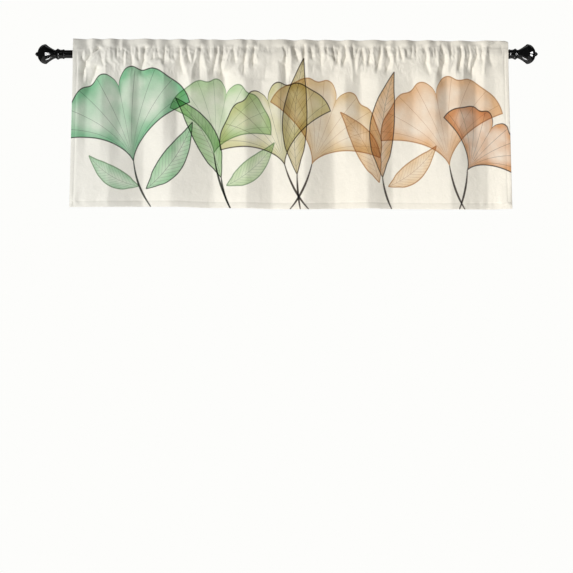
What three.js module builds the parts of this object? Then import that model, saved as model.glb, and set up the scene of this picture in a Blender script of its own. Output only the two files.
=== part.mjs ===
// A rod-pocket valance gathered on a round curtain rod with turned finials.
// Millimetres. X runs along the rod, Z is up, and the side that faces the room is -Y.
// The origin is on the rod's axis, half way between the tips of the finials.

import * as THREE from 'three';

// Rod and finials
const ROD_DIAMETER = 22;
const ROD_WALL = 1;
const OVERALL_LENGTH = 1368;
const FINIAL_LENGTH = 80.5;
const SOCKET_DEPTH = 14;
const FITTED_GAP = 0.35;
const TURNED_SIDES = 24;
const CURVE_STEPS = 5;

// A finial's outline from its mouth to its widest ring. along: from the mouth.
// bow: how far it bulges outwards half way to the next row, 0 where it runs straight.
const FINIAL_SECTIONS = [
  { along: 0, radius: 12.1, bow: 1.8 },
  { along: 5.6, radius: 12.1, bow: 0 },
  { along: 11, radius: 12.1, bow: 0 },
  { along: 14.8, radius: 13.3, bow: 5 },
  { along: 22.6, radius: 12, bow: 0 },
  { along: 26.2, radius: 11.5, bow: -2.4 },
  { along: 49.6, radius: 26.4, bow: 0 },
  { along: 51.2, radius: 27, bow: 0 },
];
// The domed cap beyond the widest ring, and the small knob on it
const CAP_LENGTH = 22.5;
const CAP_STEPS = 6;
const KNOB_RADIUS = 6.2;
const KNOB_SECTIONS = [
  { along: 73.8, radius: 5.2 },
  { along: 75.2, radius: 6.2 },
  { along: 79.9, radius: 1.2 },
];

// Cloth: where its edges hang, seen from the room
const LEFT_EDGE = -579;
const RIGHT_EDGE = 601;
const HEM_FLARE = 0.018;
const HEADER_TOP_LEFT = 41;
const HEADER_TOP_RIGHT = 34.5;
const POCKET_TOP_SEAM = 15;
const POCKET_LOWER_SEAM = -27;
const HEM_LEVEL = -420;
const HEM_DEPTH = 18;
const SIDE_HEM_WIDTH = 12;

// Cloth: thickness of one layer, of two sewn layers, and of a hem
const ONE_LAYER = 1.5;
const TWO_LAYERS = 2.8;
const HEM_LAYERS = 2.6;
const POCKET_CLEARANCE = 0.9;

// Levels of the gathers, from where they start in the header to where a long one ends
const GATHER_START = 30;
const GATHER_FULL = 8;
const LEAN_END = -60;
const BROAD_FOLD_START = -45;
const BROAD_FOLD_FULL = -330;

// Each gather is a trough between two soft ridges. x: at the top seam. depth: below the ridges.
// lean: how far it has moved sideways at LEAN_END. foot: the level where it has faded out.
const GATHERS = [
  { x: -550, depth: 3.0, lean: 2, foot: -150 },
  { x: -507, depth: 5.5, lean: -32, foot: -90 },
  { x: -488, depth: 4.0, lean: 4, foot: -55 },
  { x: -471, depth: 5.0, lean: 2, foot: -65 },
  { x: -451, depth: 3.5, lean: 0, foot: -50 },
  { x: -431, depth: 6.0, lean: 8, foot: -85 },
  { x: -412, depth: 3.5, lean: 0, foot: -50 },
  { x: -397, depth: 3.0, lean: -4, foot: -45 },
  { x: -385, depth: 7.5, lean: -9, foot: -120 },
  { x: -368, depth: 4.5, lean: -6, foot: -70 },
  { x: -350, depth: 4.0, lean: 3, foot: -55 },
  { x: -329, depth: 6.5, lean: 4, foot: -90 },
  { x: -311, depth: 4.0, lean: 3, foot: -50 },
  { x: -289, depth: 8.0, lean: 1, foot: -160 },
  { x: -271, depth: 4.5, lean: 8, foot: -80 },
  { x: -249, depth: 3.5, lean: -1, foot: -50 },
  { x: -232, depth: 7.5, lean: -7, foot: -150 },
  { x: -209, depth: 4.5, lean: -2, foot: -55 },
  { x: -188, depth: 7.5, lean: -9, foot: -150 },
  { x: -171, depth: 6.0, lean: -4, foot: -100 },
  { x: -145, depth: 5.0, lean: 4, foot: -60 },
  { x: -126, depth: 3.5, lean: -2, foot: -50 },
  { x: -111, depth: 5.5, lean: -5, foot: -130 },
  { x: -88, depth: 7.0, lean: -5, foot: -120 },
  { x: -55, depth: 3.0, lean: 3, foot: -75 },
  { x: -39, depth: 2.5, lean: 0, foot: -45 },
  { x: -2, depth: 7.0, lean: -4, foot: -160 },
  { x: 20, depth: 6.5, lean: 11, foot: -150 },
  { x: 48, depth: 6.0, lean: -2, foot: -90 },
  { x: 69, depth: 4.0, lean: 2, foot: -55 },
  { x: 90, depth: 3.5, lean: 3, foot: -60 },
  { x: 109, depth: 4.0, lean: 3, foot: -55 },
  { x: 127, depth: 4.5, lean: 4, foot: -70 },
  { x: 143, depth: 4.0, lean: -1, foot: -55 },
  { x: 163, depth: 5.0, lean: -7, foot: -90 },
  { x: 179, depth: 6.0, lean: 5, foot: -120 },
  { x: 207, depth: 5.5, lean: -6, foot: -110 },
  { x: 229, depth: 5.0, lean: -9, foot: -75 },
  { x: 243, depth: 3.0, lean: -7, foot: -45 },
  { x: 257, depth: 6.5, lean: -8, foot: -120 },
  { x: 275, depth: 7.0, lean: -3, foot: -85 },
  { x: 298, depth: 4.0, lean: -3, foot: -55 },
  { x: 312, depth: 4.5, lean: 2, foot: -50 },
  { x: 331, depth: 4.0, lean: 0, foot: -50 },
  { x: 351, depth: 4.0, lean: -2, foot: -50 },
  { x: 374, depth: 5.5, lean: 10, foot: -95 },
  { x: 405, depth: 5.0, lean: -5, foot: -65 },
  { x: 425, depth: 7.5, lean: -6, foot: -130 },
  { x: 446, depth: 4.5, lean: 3, foot: -95 },
  { x: 473, depth: 7.0, lean: -7, foot: -110 },
  { x: 494, depth: 6.0, lean: -2, foot: -125 },
  { x: 517, depth: 5.5, lean: -10, foot: -110 },
  { x: 532, depth: 4.0, lean: 2, foot: -50 },
  { x: 549, depth: 6.5, lean: 4, foot: -110 },
];

// The header's own soft waves, ridge and trough in turn. out: towards the room.
const HEADER_WAVES = [
  { x: -579, out: 2 },
  { x: -543, out: -2.6 },
  { x: -526, out: 2.4 },
  { x: -499, out: -2.6 },
  { x: -477, out: 3 },
  { x: -454, out: -1.6 },
  { x: -446, out: -0.4 },
  { x: -430, out: -3.2 },
  { x: -381, out: 3.2 },
  { x: -356, out: -1.2 },
  { x: -344, out: 0.6 },
  { x: -317, out: -3 },
  { x: -290, out: 2.6 },
  { x: -265, out: -2.6 },
  { x: -235, out: 2.6 },
  { x: -212, out: -1.4 },
  { x: -200, out: 0.2 },
  { x: -167, out: -3.2 },
  { x: -124, out: 3 },
  { x: -106, out: -1.4 },
  { x: -95, out: 1.2 },
  { x: -78, out: -2.6 },
  { x: -45, out: 0.6 },
  { x: -10, out: 3 },
  { x: 22, out: -3 },
  { x: 49, out: 2.8 },
  { x: 86, out: -2.6 },
  { x: 103, out: 1.6 },
  { x: 147, out: -3 },
  { x: 169, out: 1.8 },
  { x: 197, out: -2.2 },
  { x: 239, out: 3.2 },
  { x: 271, out: -2 },
  { x: 287, out: 0.6 },
  { x: 296, out: -0.2 },
  { x: 325, out: 2.8 },
  { x: 352, out: -2.4 },
  { x: 385, out: 3 },
  { x: 407, out: -0.8 },
  { x: 416, out: 0.4 },
  { x: 445, out: -2.8 },
  { x: 471, out: 1.4 },
  { x: 509, out: -3.2 },
  { x: 545, out: 2.8 },
  { x: 567, out: 1.2 },
  { x: 601, out: 0.6 },
];

// The broad folds of the lower panel. out: towards the room. drop: the hem below HEM_LEVEL.
const HEM_FOLDS = [
  { x: -579, out: -2, drop: -4 },
  { x: -475, out: 8, drop: -4 },
  { x: -385, out: -9, drop: -5 },
  { x: -309, out: 7, drop: -4.5 },
  { x: -197, out: -10, drop: -1.5 },
  { x: -107, out: 8, drop: 0 },
  { x: -39, out: -6, drop: 1.5 },
  { x: 48, out: 9, drop: 2.5 },
  { x: 128, out: -8, drop: 0.8 },
  { x: 216, out: 9, drop: 0 },
  { x: 284, out: -9, drop: 1.2 },
  { x: 437, out: 10, drop: 2.8 },
  { x: 540, out: -8, drop: 2.5 },
  { x: 601, out: 3, drop: 1 },
];

// Section through the cloth beside the rod, along a ridge between two gathers.
// front and back: the two outer faces, towards the room from the rod's axis.
const POCKET_LEVELS = [
  { z: 10.5, front: 13.5, back: -11 },
  { z: 5, front: 17.5, back: -17.5 },
  { z: 0, front: 18.6, back: -18.6 },
  { z: -6, front: 18.2, back: -18 },
  { z: -14, front: 16.4, back: -13.4 },
  { z: -21, front: 14.2, back: -5 },
];

// Levels of the panel below the lower seam. Every gather has its own points on a fine level.
const PANEL_LEVELS = [
  { z: -36, fine: true },
  { z: -50, fine: true },
  { z: -70, fine: true },
  { z: -100, fine: false },
  { z: -145, fine: false },
  { z: -205, fine: false },
  { z: -270, fine: false },
  { z: -340, fine: false },
];

// Faces towards the room along a ridge, from the rod's axis, and what the folds do to them
const HEADER_FRONT = 5.6;
const SEAM_FRONT = 6;
const PANEL_FRONT = 12;
const HEADER_MIDDLE = 27;
const FOLDED_EDGE = 1.6;
const HEADER_CORNER = { width: 2, drop: 3 };
const HEADER_WAVE_RISE = 0.25;
const SEAM_WAVE_SHARE = 0.35;
const SEAM_GATHER_SHARE = 0.55;
const BACK_GATHER_SHARE = 0.6;
const GATHER_HALF_WIDTH = 3.6;
const GATHER_WIDTH_BY_DEPTH = 0.45;
const GATHER_SPREAD = 55;
const WIDE_RIDGE = 26;

// The pocket's inside at its top and bottom, and the ledge where a turned edge ends
const TUNNEL_TOP = { out: 1, z: 13.1 };
const TUNNEL_SHOULDER = { inset: 1.3, z: 9.2 };
const TUNNEL_BOTTOM = -24.6;
const LEDGE = 3;

function smoothStep(share) {
  const t = Math.min(1, Math.max(0, share));
  return t * t * (3 - 2 * t);
}

// Reads one column of a table sorted by x, with an even curve between its rows.
function along(table, x, column) {
  const last = table.length - 1;
  if (x <= table[0].x) return table[0][column];
  if (x >= table[last].x) return table[last][column];
  const right = table.findIndex((row) => row.x > x);
  const before = table[right - 1];
  const after = table[right];
  const share = smoothStep((x - before.x) / (after.x - before.x));
  return before[column] + (after[column] - before[column]) * share;
}

// How far down the lean of the gathers has come at a level, from 0 to 1.
function leanShare(z) {
  return Math.min(1, Math.max(0, (POCKET_TOP_SEAM - z) / (POCKET_TOP_SEAM - LEAN_END)));
}

// A gather's share of its depth at a level: it starts in the header and fades at its foot.
function gatherShare(gather, z) {
  const start = smoothStep((GATHER_START - z) / (GATHER_START - GATHER_FULL));
  const fade = smoothStep((z - gather.foot) / (POCKET_LOWER_SEAM - gather.foot));
  return start * fade;
}

// Depth of all gathers together at a point of the cloth. They widen as they run down.
function gatherDepth(across, z) {
  let depth = 0;
  for (const gather of GATHERS) {
    const centre = gather.x + gather.lean * leanShare(z);
    const below = Math.max(0, POCKET_LOWER_SEAM - z);
    const width = GATHER_HALF_WIDTH + GATHER_WIDTH_BY_DEPTH * gather.depth;
    const halfWidth = width * (1 + below / GATHER_SPREAD);
    const offset = (across - centre) / halfWidth;
    depth += gather.depth * gatherShare(gather, z) * Math.exp(-offset * offset);
  }
  return depth;
}

// The folds' own movement of the panel towards the room at a point below the header.
function broadFold(across, z) {
  const share = smoothStep((BROAD_FOLD_START - z) / (BROAD_FOLD_START - BROAD_FOLD_FULL));
  return share * along(HEM_FOLDS, across, 'out');
}

function headerTop(across) {
  const share = (across - LEFT_EDGE) / (RIGHT_EDGE - LEFT_EDGE);
  const slope = HEADER_TOP_LEFT + (HEADER_TOP_RIGHT - HEADER_TOP_LEFT) * share;
  const corner = Math.max(0, across - (RIGHT_EDGE - HEADER_CORNER.width)) / HEADER_CORNER.width;
  const waves = along(HEADER_WAVES, across, 'out');
  return slope + HEADER_WAVE_RISE * waves - HEADER_CORNER.drop * corner;
}

function hemLine(across) {
  return HEM_LEVEL - along(HEM_FOLDS, across, 'drop');
}

// The side edges hang straight to the lower seam and flare a little below it.
function widened(across, z) {
  const below = Math.max(0, POCKET_LOWER_SEAM - z);
  return across * (1 + HEM_FLARE * below / (POCKET_LOWER_SEAM - HEM_LEVEL));
}

function panelFront(across, z) {
  return PANEL_FRONT - gatherDepth(across, z) + broadFold(across, z);
}

function panelThickness(across) {
  const fromEdge = Math.min(across - LEFT_EDGE, RIGHT_EDGE - across);
  return fromEdge <= SIDE_HEM_WIDTH ? HEM_LAYERS : ONE_LAYER;
}

// The front of the pocket stays clear of the rod, however deep a gather is.
function pocketFront(across, level) {
  const radius = ROD_DIAMETER / 2 + POCKET_CLEARANCE + ONE_LAYER;
  const touching = Math.sqrt(Math.max(0, radius * radius - level.z * level.z));
  const folded = level.front - gatherDepth(across, level.z);
  return level.z > -ROD_DIAMETER / 2 ? Math.max(folded, touching) : folded;
}

function pocketBack(across, level) {
  const radius = ROD_DIAMETER / 2 + POCKET_CLEARANCE + ONE_LAYER;
  const touching = Math.sqrt(Math.max(0, radius * radius - level.z * level.z));
  const folded = level.back + BACK_GATHER_SHARE * gatherDepth(across, level.z);
  return level.z > -ROD_DIAMETER / 2 ? Math.min(folded, -touching) : folded;
}

function headerFront(across, z) {
  const waves = along(HEADER_WAVES, across, 'out');
  const up = smoothStep((z - POCKET_TOP_SEAM) / (HEADER_MIDDLE - POCKET_TOP_SEAM));
  const front = SEAM_FRONT + (HEADER_FRONT - SEAM_FRONT) * up;
  const waveShare = SEAM_WAVE_SHARE + (1 - SEAM_WAVE_SHARE) * up;
  return front + waves * waveShare - SEAM_GATHER_SHARE * gatherDepth(across, z);
}

function lowerSeamFront(across) {
  return PANEL_FRONT - gatherDepth(across, POCKET_LOWER_SEAM);
}

// Places across the cloth at which it has points: each gather, the ridges between them
// and the edges. Leans move them together.
function placesAcross() {
  const places = [
    { x: LEFT_EDGE, lean: 0 },
    { x: LEFT_EDGE + SIDE_HEM_WIDTH, lean: 0 },
  ];
  GATHERS.forEach((gather, index) => {
    places.push({ x: gather.x, lean: gather.lean });
    const next = GATHERS[index + 1];
    if (!next) return;
    const ridges = next.x - gather.x > WIDE_RIDGE ? 2 : 1;
    for (let ridge = 1; ridge <= ridges; ridge += 1) {
      const share = ridge / (ridges + 1);
      places.push({
        x: gather.x + (next.x - gather.x) * share,
        lean: gather.lean + (next.lean - gather.lean) * share,
      });
    }
  });
  places.push({ x: (GATHERS[GATHERS.length - 1].x + RIGHT_EDGE) / 2, lean: 0 });
  places.push({ x: RIGHT_EDGE - SIDE_HEM_WIDTH, lean: 0 });
  places.push({ x: RIGHT_EDGE, lean: 0 });
  return places;
}

const PLACES = placesAcross();

// One row of points along the cloth. shape gives [out, z] for a place across it.
// A coarse row has every second place.
function makeRow(level, fine, shape) {
  const row = [];
  PLACES.forEach((place, index) => {
    const last = index === PLACES.length - 1;
    if (!fine && index % 2 === 1 && !last) return;
    const across = place.x + place.lean * leanShare(level);
    const [out, z] = shape(across);
    row.push({ index, point: new THREE.Vector3(widened(across, z), -out, z) });
  });
  return row;
}

// The outer face, as rows from the header's folded edge down the front and up the back.
function outerRows() {
  const rows = [];
  const add = (level, fine, shape) => rows.push(makeRow(level, fine, shape));
  const headerBack = (across, z) => headerFront(across, z) - TWO_LAYERS;
  add(HEADER_TOP_LEFT, false, (a) => [headerFront(a, headerTop(a)) - TWO_LAYERS / 2, headerTop(a)]);
  add(HEADER_TOP_LEFT, false, (a) => [headerFront(a, headerTop(a)), headerTop(a) - FOLDED_EDGE]);
  add(HEADER_MIDDLE, true, (a) => [headerFront(a, HEADER_MIDDLE), HEADER_MIDDLE]);
  add(POCKET_TOP_SEAM, true, (a) => [headerFront(a, POCKET_TOP_SEAM), POCKET_TOP_SEAM]);
  for (const level of POCKET_LEVELS) {
    add(level.z, true, (a) => [pocketFront(a, level), level.z]);
  }
  add(POCKET_LOWER_SEAM, true, (a) => [lowerSeamFront(a), POCKET_LOWER_SEAM]);
  for (const level of PANEL_LEVELS) {
    add(level.z, level.fine, (a) => [panelFront(a, level.z), level.z]);
  }
  add(HEM_LEVEL, false, (a) => [panelFront(a, HEM_LEVEL), hemLine(a) + HEM_DEPTH]);
  add(HEM_LEVEL, false, (a) => [panelFront(a, HEM_LEVEL), hemLine(a)]);
  add(HEM_LEVEL, false, (a) => [panelFront(a, HEM_LEVEL) - HEM_LAYERS, hemLine(a)]);
  add(HEM_LEVEL, false, (a) => [panelFront(a, HEM_LEVEL) - HEM_LAYERS, hemLine(a) + HEM_DEPTH]);
  add(HEM_LEVEL, false, (a) => {
    const z = hemLine(a) + HEM_DEPTH + LEDGE;
    return [panelFront(a, HEM_LEVEL) - panelThickness(a), z];
  });
  for (const level of [...PANEL_LEVELS].reverse()) {
    add(level.z, level.fine, (a) => [panelFront(a, level.z) - panelThickness(a), level.z]);
  }
  const ledgeLevel = POCKET_LOWER_SEAM - LEDGE;
  add(ledgeLevel, true, (a) => [panelFront(a, ledgeLevel) - TWO_LAYERS, ledgeLevel]);
  add(POCKET_LOWER_SEAM, true, (a) => [lowerSeamFront(a) - TWO_LAYERS, POCKET_LOWER_SEAM]);
  for (const level of [...POCKET_LEVELS].reverse()) {
    add(level.z, true, (a) => [pocketBack(a, level), level.z]);
  }
  add(POCKET_TOP_SEAM, true, (a) => [headerBack(a, POCKET_TOP_SEAM), POCKET_TOP_SEAM]);
  add(HEADER_MIDDLE, true, (a) => [headerBack(a, HEADER_MIDDLE), HEADER_MIDDLE]);
  add(HEADER_TOP_LEFT, false, (a) => [headerBack(a, headerTop(a)), headerTop(a) - FOLDED_EDGE]);
  return rows;
}

// The pocket's inside, as rows from its top down the front and up the back.
function tunnelRows() {
  const rows = [];
  const [shoulder, ...sides] = POCKET_LEVELS;
  const add = (level, shape) => rows.push(makeRow(level, true, shape));
  const inset = TUNNEL_SHOULDER.inset;
  add(POCKET_TOP_SEAM, () => [TUNNEL_TOP.out, TUNNEL_TOP.z]);
  add(shoulder.z, (a) => [pocketFront(a, shoulder) - inset, TUNNEL_SHOULDER.z]);
  for (const level of sides) {
    add(level.z, (a) => [pocketFront(a, level) - ONE_LAYER, level.z]);
  }
  const lowest = sides[sides.length - 1];
  add(lowest.z, (a) => {
    const front = (pocketFront(a, lowest) + lowerSeamFront(a)) / 2 - ONE_LAYER;
    const back = (pocketBack(a, lowest) + lowerSeamFront(a) - TWO_LAYERS) / 2 + ONE_LAYER;
    return [(front + back) / 2, TUNNEL_BOTTOM];
  });
  for (const level of [...sides].reverse()) {
    add(level.z, (a) => [pocketBack(a, level) + ONE_LAYER, level.z]);
  }
  add(shoulder.z, (a) => [pocketBack(a, shoulder) + inset, TUNNEL_SHOULDER.z]);
  return rows;
}

// Joins two neighbouring rows with triangles, also where one has fewer points.
function joinRows(upper, lower, inward, triangles) {
  let u = 0;
  let l = 0;
  while (u < upper.length - 1 || l < lower.length - 1) {
    const nextUpper = u < upper.length - 1 ? upper[u + 1].index : Infinity;
    const nextLower = l < lower.length - 1 ? lower[l + 1].index : Infinity;
    const corners = [upper[u].point, lower[l].point];
    if (nextUpper <= nextLower) {
      u += 1;
      corners.push(upper[u].point);
    } else {
      l += 1;
      corners.push(lower[l].point);
    }
    triangles.push(inward ? corners.reverse() : corners);
  }
}

// Closes one end of the cloth, between its outer face and the pocket's inside.
function closeEnd(outer, tunnel, atRight, triangles) {
  const pick = (row) => (atRight ? row[row.length - 1] : row[0]).point;
  const outline = outer.map(pick);
  const hole = tunnel.map(pick);
  const flat = (point) => new THREE.Vector2(-point.y, point.z);
  const points = [...outline, ...hole];
  for (const face of THREE.ShapeUtils.triangulateShape(outline.map(flat), [hole.map(flat)])) {
    const corners = face.map((index) => points[index]);
    const across = corners[1].clone().sub(corners[0]).cross(corners[2].clone().sub(corners[0]));
    const pointsRight = across.x > 0;
    triangles.push(pointsRight === atRight ? corners : corners.reverse());
  }
}

function geometryOf(triangles) {
  const numbers = triangles.flatMap((corners) => corners.flatMap((corner) => corner.toArray()));
  const geometry = new THREE.BufferGeometry();
  geometry.setAttribute('position', new THREE.Float32BufferAttribute(numbers, 3));
  geometry.computeVertexNormals();
  return geometry;
}

function makeCloth() {
  const outer = outerRows();
  const tunnel = tunnelRows();
  const triangles = [];
  outer.forEach((row, index) => {
    joinRows(row, outer[(index + 1) % outer.length], false, triangles);
  });
  tunnel.forEach((row, index) => {
    joinRows(row, tunnel[(index + 1) % tunnel.length], true, triangles);
  });
  closeEnd(outer, tunnel, false, triangles);
  closeEnd(outer, tunnel, true, triangles);
  const material = new THREE.MeshStandardMaterial({ color: '#eee8da', roughness: 0.85, metalness: 0 });
  const cloth = new THREE.Mesh(geometryOf(triangles), material);
  cloth.name = 'valance_cloth';
  return cloth;
}

// Turns an outline of (radius, distance along the axis) about X, with a flat side underneath.
function turned(outline) {
  const geometry = new THREE.LatheGeometry(outline, TURNED_SIDES, Math.PI / TURNED_SIDES);
  geometry.rotateZ(-Math.PI / 2);
  return geometry;
}

function glossyBlack() {
  return new THREE.MeshStandardMaterial({ color: '#121212', roughness: 0.22, metalness: 0.1 });
}

function makeRod() {
  const outside = ROD_DIAMETER / 2;
  const inside = outside - ROD_WALL;
  const halfLength = OVERALL_LENGTH / 2 - FINIAL_LENGTH + SOCKET_DEPTH - FITTED_GAP;
  const outline = [
    new THREE.Vector2(inside, -halfLength),
    new THREE.Vector2(outside, -halfLength),
    new THREE.Vector2(outside, halfLength),
    new THREE.Vector2(inside, halfLength),
    new THREE.Vector2(inside, -halfLength),
  ];
  const rod = new THREE.Mesh(turned(outline), glossyBlack());
  rod.name = 'curtain_rod';
  return rod;
}

// A finial's outline, from the bottom of its socket round its mouth to its tip.
function finialOutline() {
  const bore = ROD_DIAMETER / 2 + FITTED_GAP;
  const path = new THREE.Path();
  path.moveTo(0, SOCKET_DEPTH);
  path.lineTo(bore, SOCKET_DEPTH);
  path.lineTo(bore, 0);
  path.lineTo(FINIAL_SECTIONS[0].radius, 0);
  FINIAL_SECTIONS.slice(1).forEach((section, index) => {
    const before = FINIAL_SECTIONS[index];
    const middleRadius = (before.radius + section.radius) / 2 + before.bow;
    const middleAlong = (before.along + section.along) / 2;
    if (before.bow === 0) path.lineTo(section.radius, section.along);
    else path.quadraticCurveTo(middleRadius, middleAlong, section.radius, section.along);
  });
  const widest = FINIAL_SECTIONS[FINIAL_SECTIONS.length - 1];
  const quarter = Math.PI / 2;
  const capEnd = Math.asin(KNOB_RADIUS / widest.radius);
  for (let step = 1; step <= CAP_STEPS; step += 1) {
    const angle = quarter + (capEnd - quarter) * step / CAP_STEPS;
    path.lineTo(widest.radius * Math.sin(angle), widest.along + CAP_LENGTH * Math.cos(angle));
  }
  for (const section of KNOB_SECTIONS) path.lineTo(section.radius, section.along);
  path.lineTo(0, FINIAL_LENGTH);
  return path.getPoints(CURVE_STEPS);
}

function makeFinial(name, side) {
  const finial = new THREE.Mesh(turned(finialOutline()), glossyBlack());
  finial.name = name;
  finial.position.x = side * (OVERALL_LENGTH / 2 - FINIAL_LENGTH);
  finial.rotation.z = side > 0 ? 0 : Math.PI;
  return finial;
}

const valance = new THREE.Group();
valance.add(makeCloth());
valance.add(makeRod());
valance.add(makeFinial('finial_left', -1));
valance.add(makeFinial('finial_right', 1));

export default valance;
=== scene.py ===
"""A printed rod-pocket valance, gathered on a glossy black rod with turned finials.

Tables are in millimetres, as a sewing plan would give them: x runs along the rod, z is up from the
rod's axis and out is towards the room. MM turns them to metres, in which everything is placed.
"""
import functools
import math
from collections import namedtuple

import bmesh
import bpy
from mathutils import Matrix, Vector, noise


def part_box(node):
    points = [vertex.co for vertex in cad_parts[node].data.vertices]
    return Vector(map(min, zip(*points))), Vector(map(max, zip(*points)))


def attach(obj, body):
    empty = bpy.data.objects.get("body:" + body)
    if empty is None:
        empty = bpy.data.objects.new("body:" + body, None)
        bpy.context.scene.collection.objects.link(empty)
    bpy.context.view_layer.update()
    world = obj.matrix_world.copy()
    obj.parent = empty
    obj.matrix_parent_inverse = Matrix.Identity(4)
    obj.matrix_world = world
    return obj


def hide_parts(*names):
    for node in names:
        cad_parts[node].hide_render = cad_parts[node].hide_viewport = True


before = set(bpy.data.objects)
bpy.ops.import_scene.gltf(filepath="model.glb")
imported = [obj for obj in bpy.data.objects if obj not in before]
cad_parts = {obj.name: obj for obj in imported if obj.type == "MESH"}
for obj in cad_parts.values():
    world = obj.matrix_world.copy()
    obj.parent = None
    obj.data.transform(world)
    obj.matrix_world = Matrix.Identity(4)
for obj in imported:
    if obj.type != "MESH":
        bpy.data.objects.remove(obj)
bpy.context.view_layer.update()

MM = 0.001


# Camera: level, in front of the valance, with the rod near the top of the picture
CAMERA_DISTANCE = 5.0
CAMERA_DROP = 0.632
FRAME_WIDTH = 1.5586
SENSOR_WIDTH = 36.0


def place_camera():
    camera = bpy.data.objects.new("camera", bpy.data.cameras.new("camera"))
    bpy.context.scene.collection.objects.link(camera)
    camera.location = (0, -CAMERA_DISTANCE, -CAMERA_DROP)
    camera.rotation_euler = (math.radians(90), 0, 0)
    camera.data.sensor_width = SENSOR_WIDTH
    camera.data.lens = SENSOR_WIDTH * CAMERA_DISTANCE / FRAME_WIDTH
    bpy.context.scene.camera = camera


place_camera()


# Cloth: where its edges hang, seen from the room
LEFT_EDGE = -579
RIGHT_EDGE = 601
HEM_FLARE = 0.018
HEADER_TOP_LEFT = 41
HEADER_TOP_RIGHT = 34.5
HEADER_MIDDLE = 27
TOP_SEAM = 15
LOWER_SEAM = -27
HEM_LEVEL = -420
HEM_DEPTH = 18
HEM_STITCH = 16.5
SIDE_HEM = 12
SIDE_STITCH = 10.2
FLAT_WIDTH = 1372

# Cloth: how its layers lie on each other. A gap is between the middles of two layers.
THICKNESS = 0.55
LAYER_GAP = 1.0
CORNER_GAP = 2.1
CORNER_REACH = 14
CORNER_FADE = 9
ROD_CLEARANCE = 0.75
SEAM_TAIL = 4

# Levels of the gathers, from where they start in the header to where their lean is complete, and of the
# broad folds, from where they start to where they are full
GATHER_START = 27
GATHER_FULL = 4
LEAN_END = -60
BROAD_FOLD_START = -45
BROAD_FOLD_FULL = -330

# Each gather is a trough between two soft ridges. x: at the top seam. depth: below the ridges.
# lean: how far it has moved sideways at LEAN_END. foot: the level where it has faded out.
# wide: how many times its usual width it has.
GATHERS = [
    {"x": -550, "depth": 3.0, "lean": 2, "foot": -150},
    {"x": -507, "depth": 7.5, "lean": -32, "foot": -90, "wide": 1.6},
    {"x": -488, "depth": 4.0, "lean": 4, "foot": -81},
    {"x": -471, "depth": 5.0, "lean": 2, "foot": -73},
    {"x": -451, "depth": 3.5, "lean": 0, "foot": -88},
    {"x": -431, "depth": 6.0, "lean": 8, "foot": -85},
    {"x": -412, "depth": 3.5, "lean": 0, "foot": -64},
    {"x": -397, "depth": 3.0, "lean": -4, "foot": -75},
    {"x": -385, "depth": 7.5, "lean": -9, "foot": -120},
    {"x": -368, "depth": 4.5, "lean": -6, "foot": -74},
    {"x": -350, "depth": 4.0, "lean": 3, "foot": -99},
    {"x": -329, "depth": 6.5, "lean": 4, "foot": -90},
    {"x": -311, "depth": 4.0, "lean": 3, "foot": -70},
    {"x": -289, "depth": 8.0, "lean": 1, "foot": -160},
    {"x": -271, "depth": 4.5, "lean": 8, "foot": -80},
    {"x": -249, "depth": 3.5, "lean": -1, "foot": -76},
    {"x": -232, "depth": 7.5, "lean": -7, "foot": -150},
    {"x": -209, "depth": 4.5, "lean": -2, "foot": -63},
    {"x": -188, "depth": 7.5, "lean": -9, "foot": -150},
    {"x": -171, "depth": 6.0, "lean": -4, "foot": -100},
    {"x": -145, "depth": 5.0, "lean": 4, "foot": -98},
    {"x": -126, "depth": 3.5, "lean": -2, "foot": -64},
    {"x": -111, "depth": 5.5, "lean": -5, "foot": -130},
    {"x": -88, "depth": 7.0, "lean": -5, "foot": -120},
    {"x": -55, "depth": 3.0, "lean": 3, "foot": -75},
    {"x": -39, "depth": 2.5, "lean": 0, "foot": -75},
    {"x": -2, "depth": 7.0, "lean": -4, "foot": -160},
    {"x": 20, "depth": 6.5, "lean": 11, "foot": -150},
    {"x": 48, "depth": 6.0, "lean": -2, "foot": -90},
    {"x": 69, "depth": 4.0, "lean": 2, "foot": -59},
    {"x": 90, "depth": 3.5, "lean": 3, "foot": -104},
    {"x": 109, "depth": 4.0, "lean": 3, "foot": -75},
    {"x": 127, "depth": 4.5, "lean": 4, "foot": -96},
    {"x": 143, "depth": 4.0, "lean": -1, "foot": -63},
    {"x": 163, "depth": 5.0, "lean": -7, "foot": -90},
    {"x": 179, "depth": 6.0, "lean": 5, "foot": -120},
    {"x": 207, "depth": 5.5, "lean": -6, "foot": -110},
    {"x": 229, "depth": 5.0, "lean": -9, "foot": -75},
    {"x": 243, "depth": 3.0, "lean": -7, "foot": -83},
    {"x": 257, "depth": 6.5, "lean": -8, "foot": -120},
    {"x": 275, "depth": 7.0, "lean": -3, "foot": -85},
    {"x": 298, "depth": 4.0, "lean": -3, "foot": -69},
    {"x": 312, "depth": 4.5, "lean": 2, "foot": -80},
    {"x": 331, "depth": 4.0, "lean": 0, "foot": -54},
    {"x": 351, "depth": 4.0, "lean": -2, "foot": -94},
    {"x": 374, "depth": 5.5, "lean": 10, "foot": -95},
    {"x": 405, "depth": 5.0, "lean": -5, "foot": -85},
    {"x": 425, "depth": 7.5, "lean": -6, "foot": -130},
    {"x": 446, "depth": 4.5, "lean": 3, "foot": -95},
    {"x": 473, "depth": 7.0, "lean": -7, "foot": -110},
    {"x": 494, "depth": 6.0, "lean": -2, "foot": -125},
    {"x": 517, "depth": 5.5, "lean": -10, "foot": -110},
    {"x": 532, "depth": 4.0, "lean": 2, "foot": -76},
    {"x": 549, "depth": 6.5, "lean": 4, "foot": -110},
]

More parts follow.
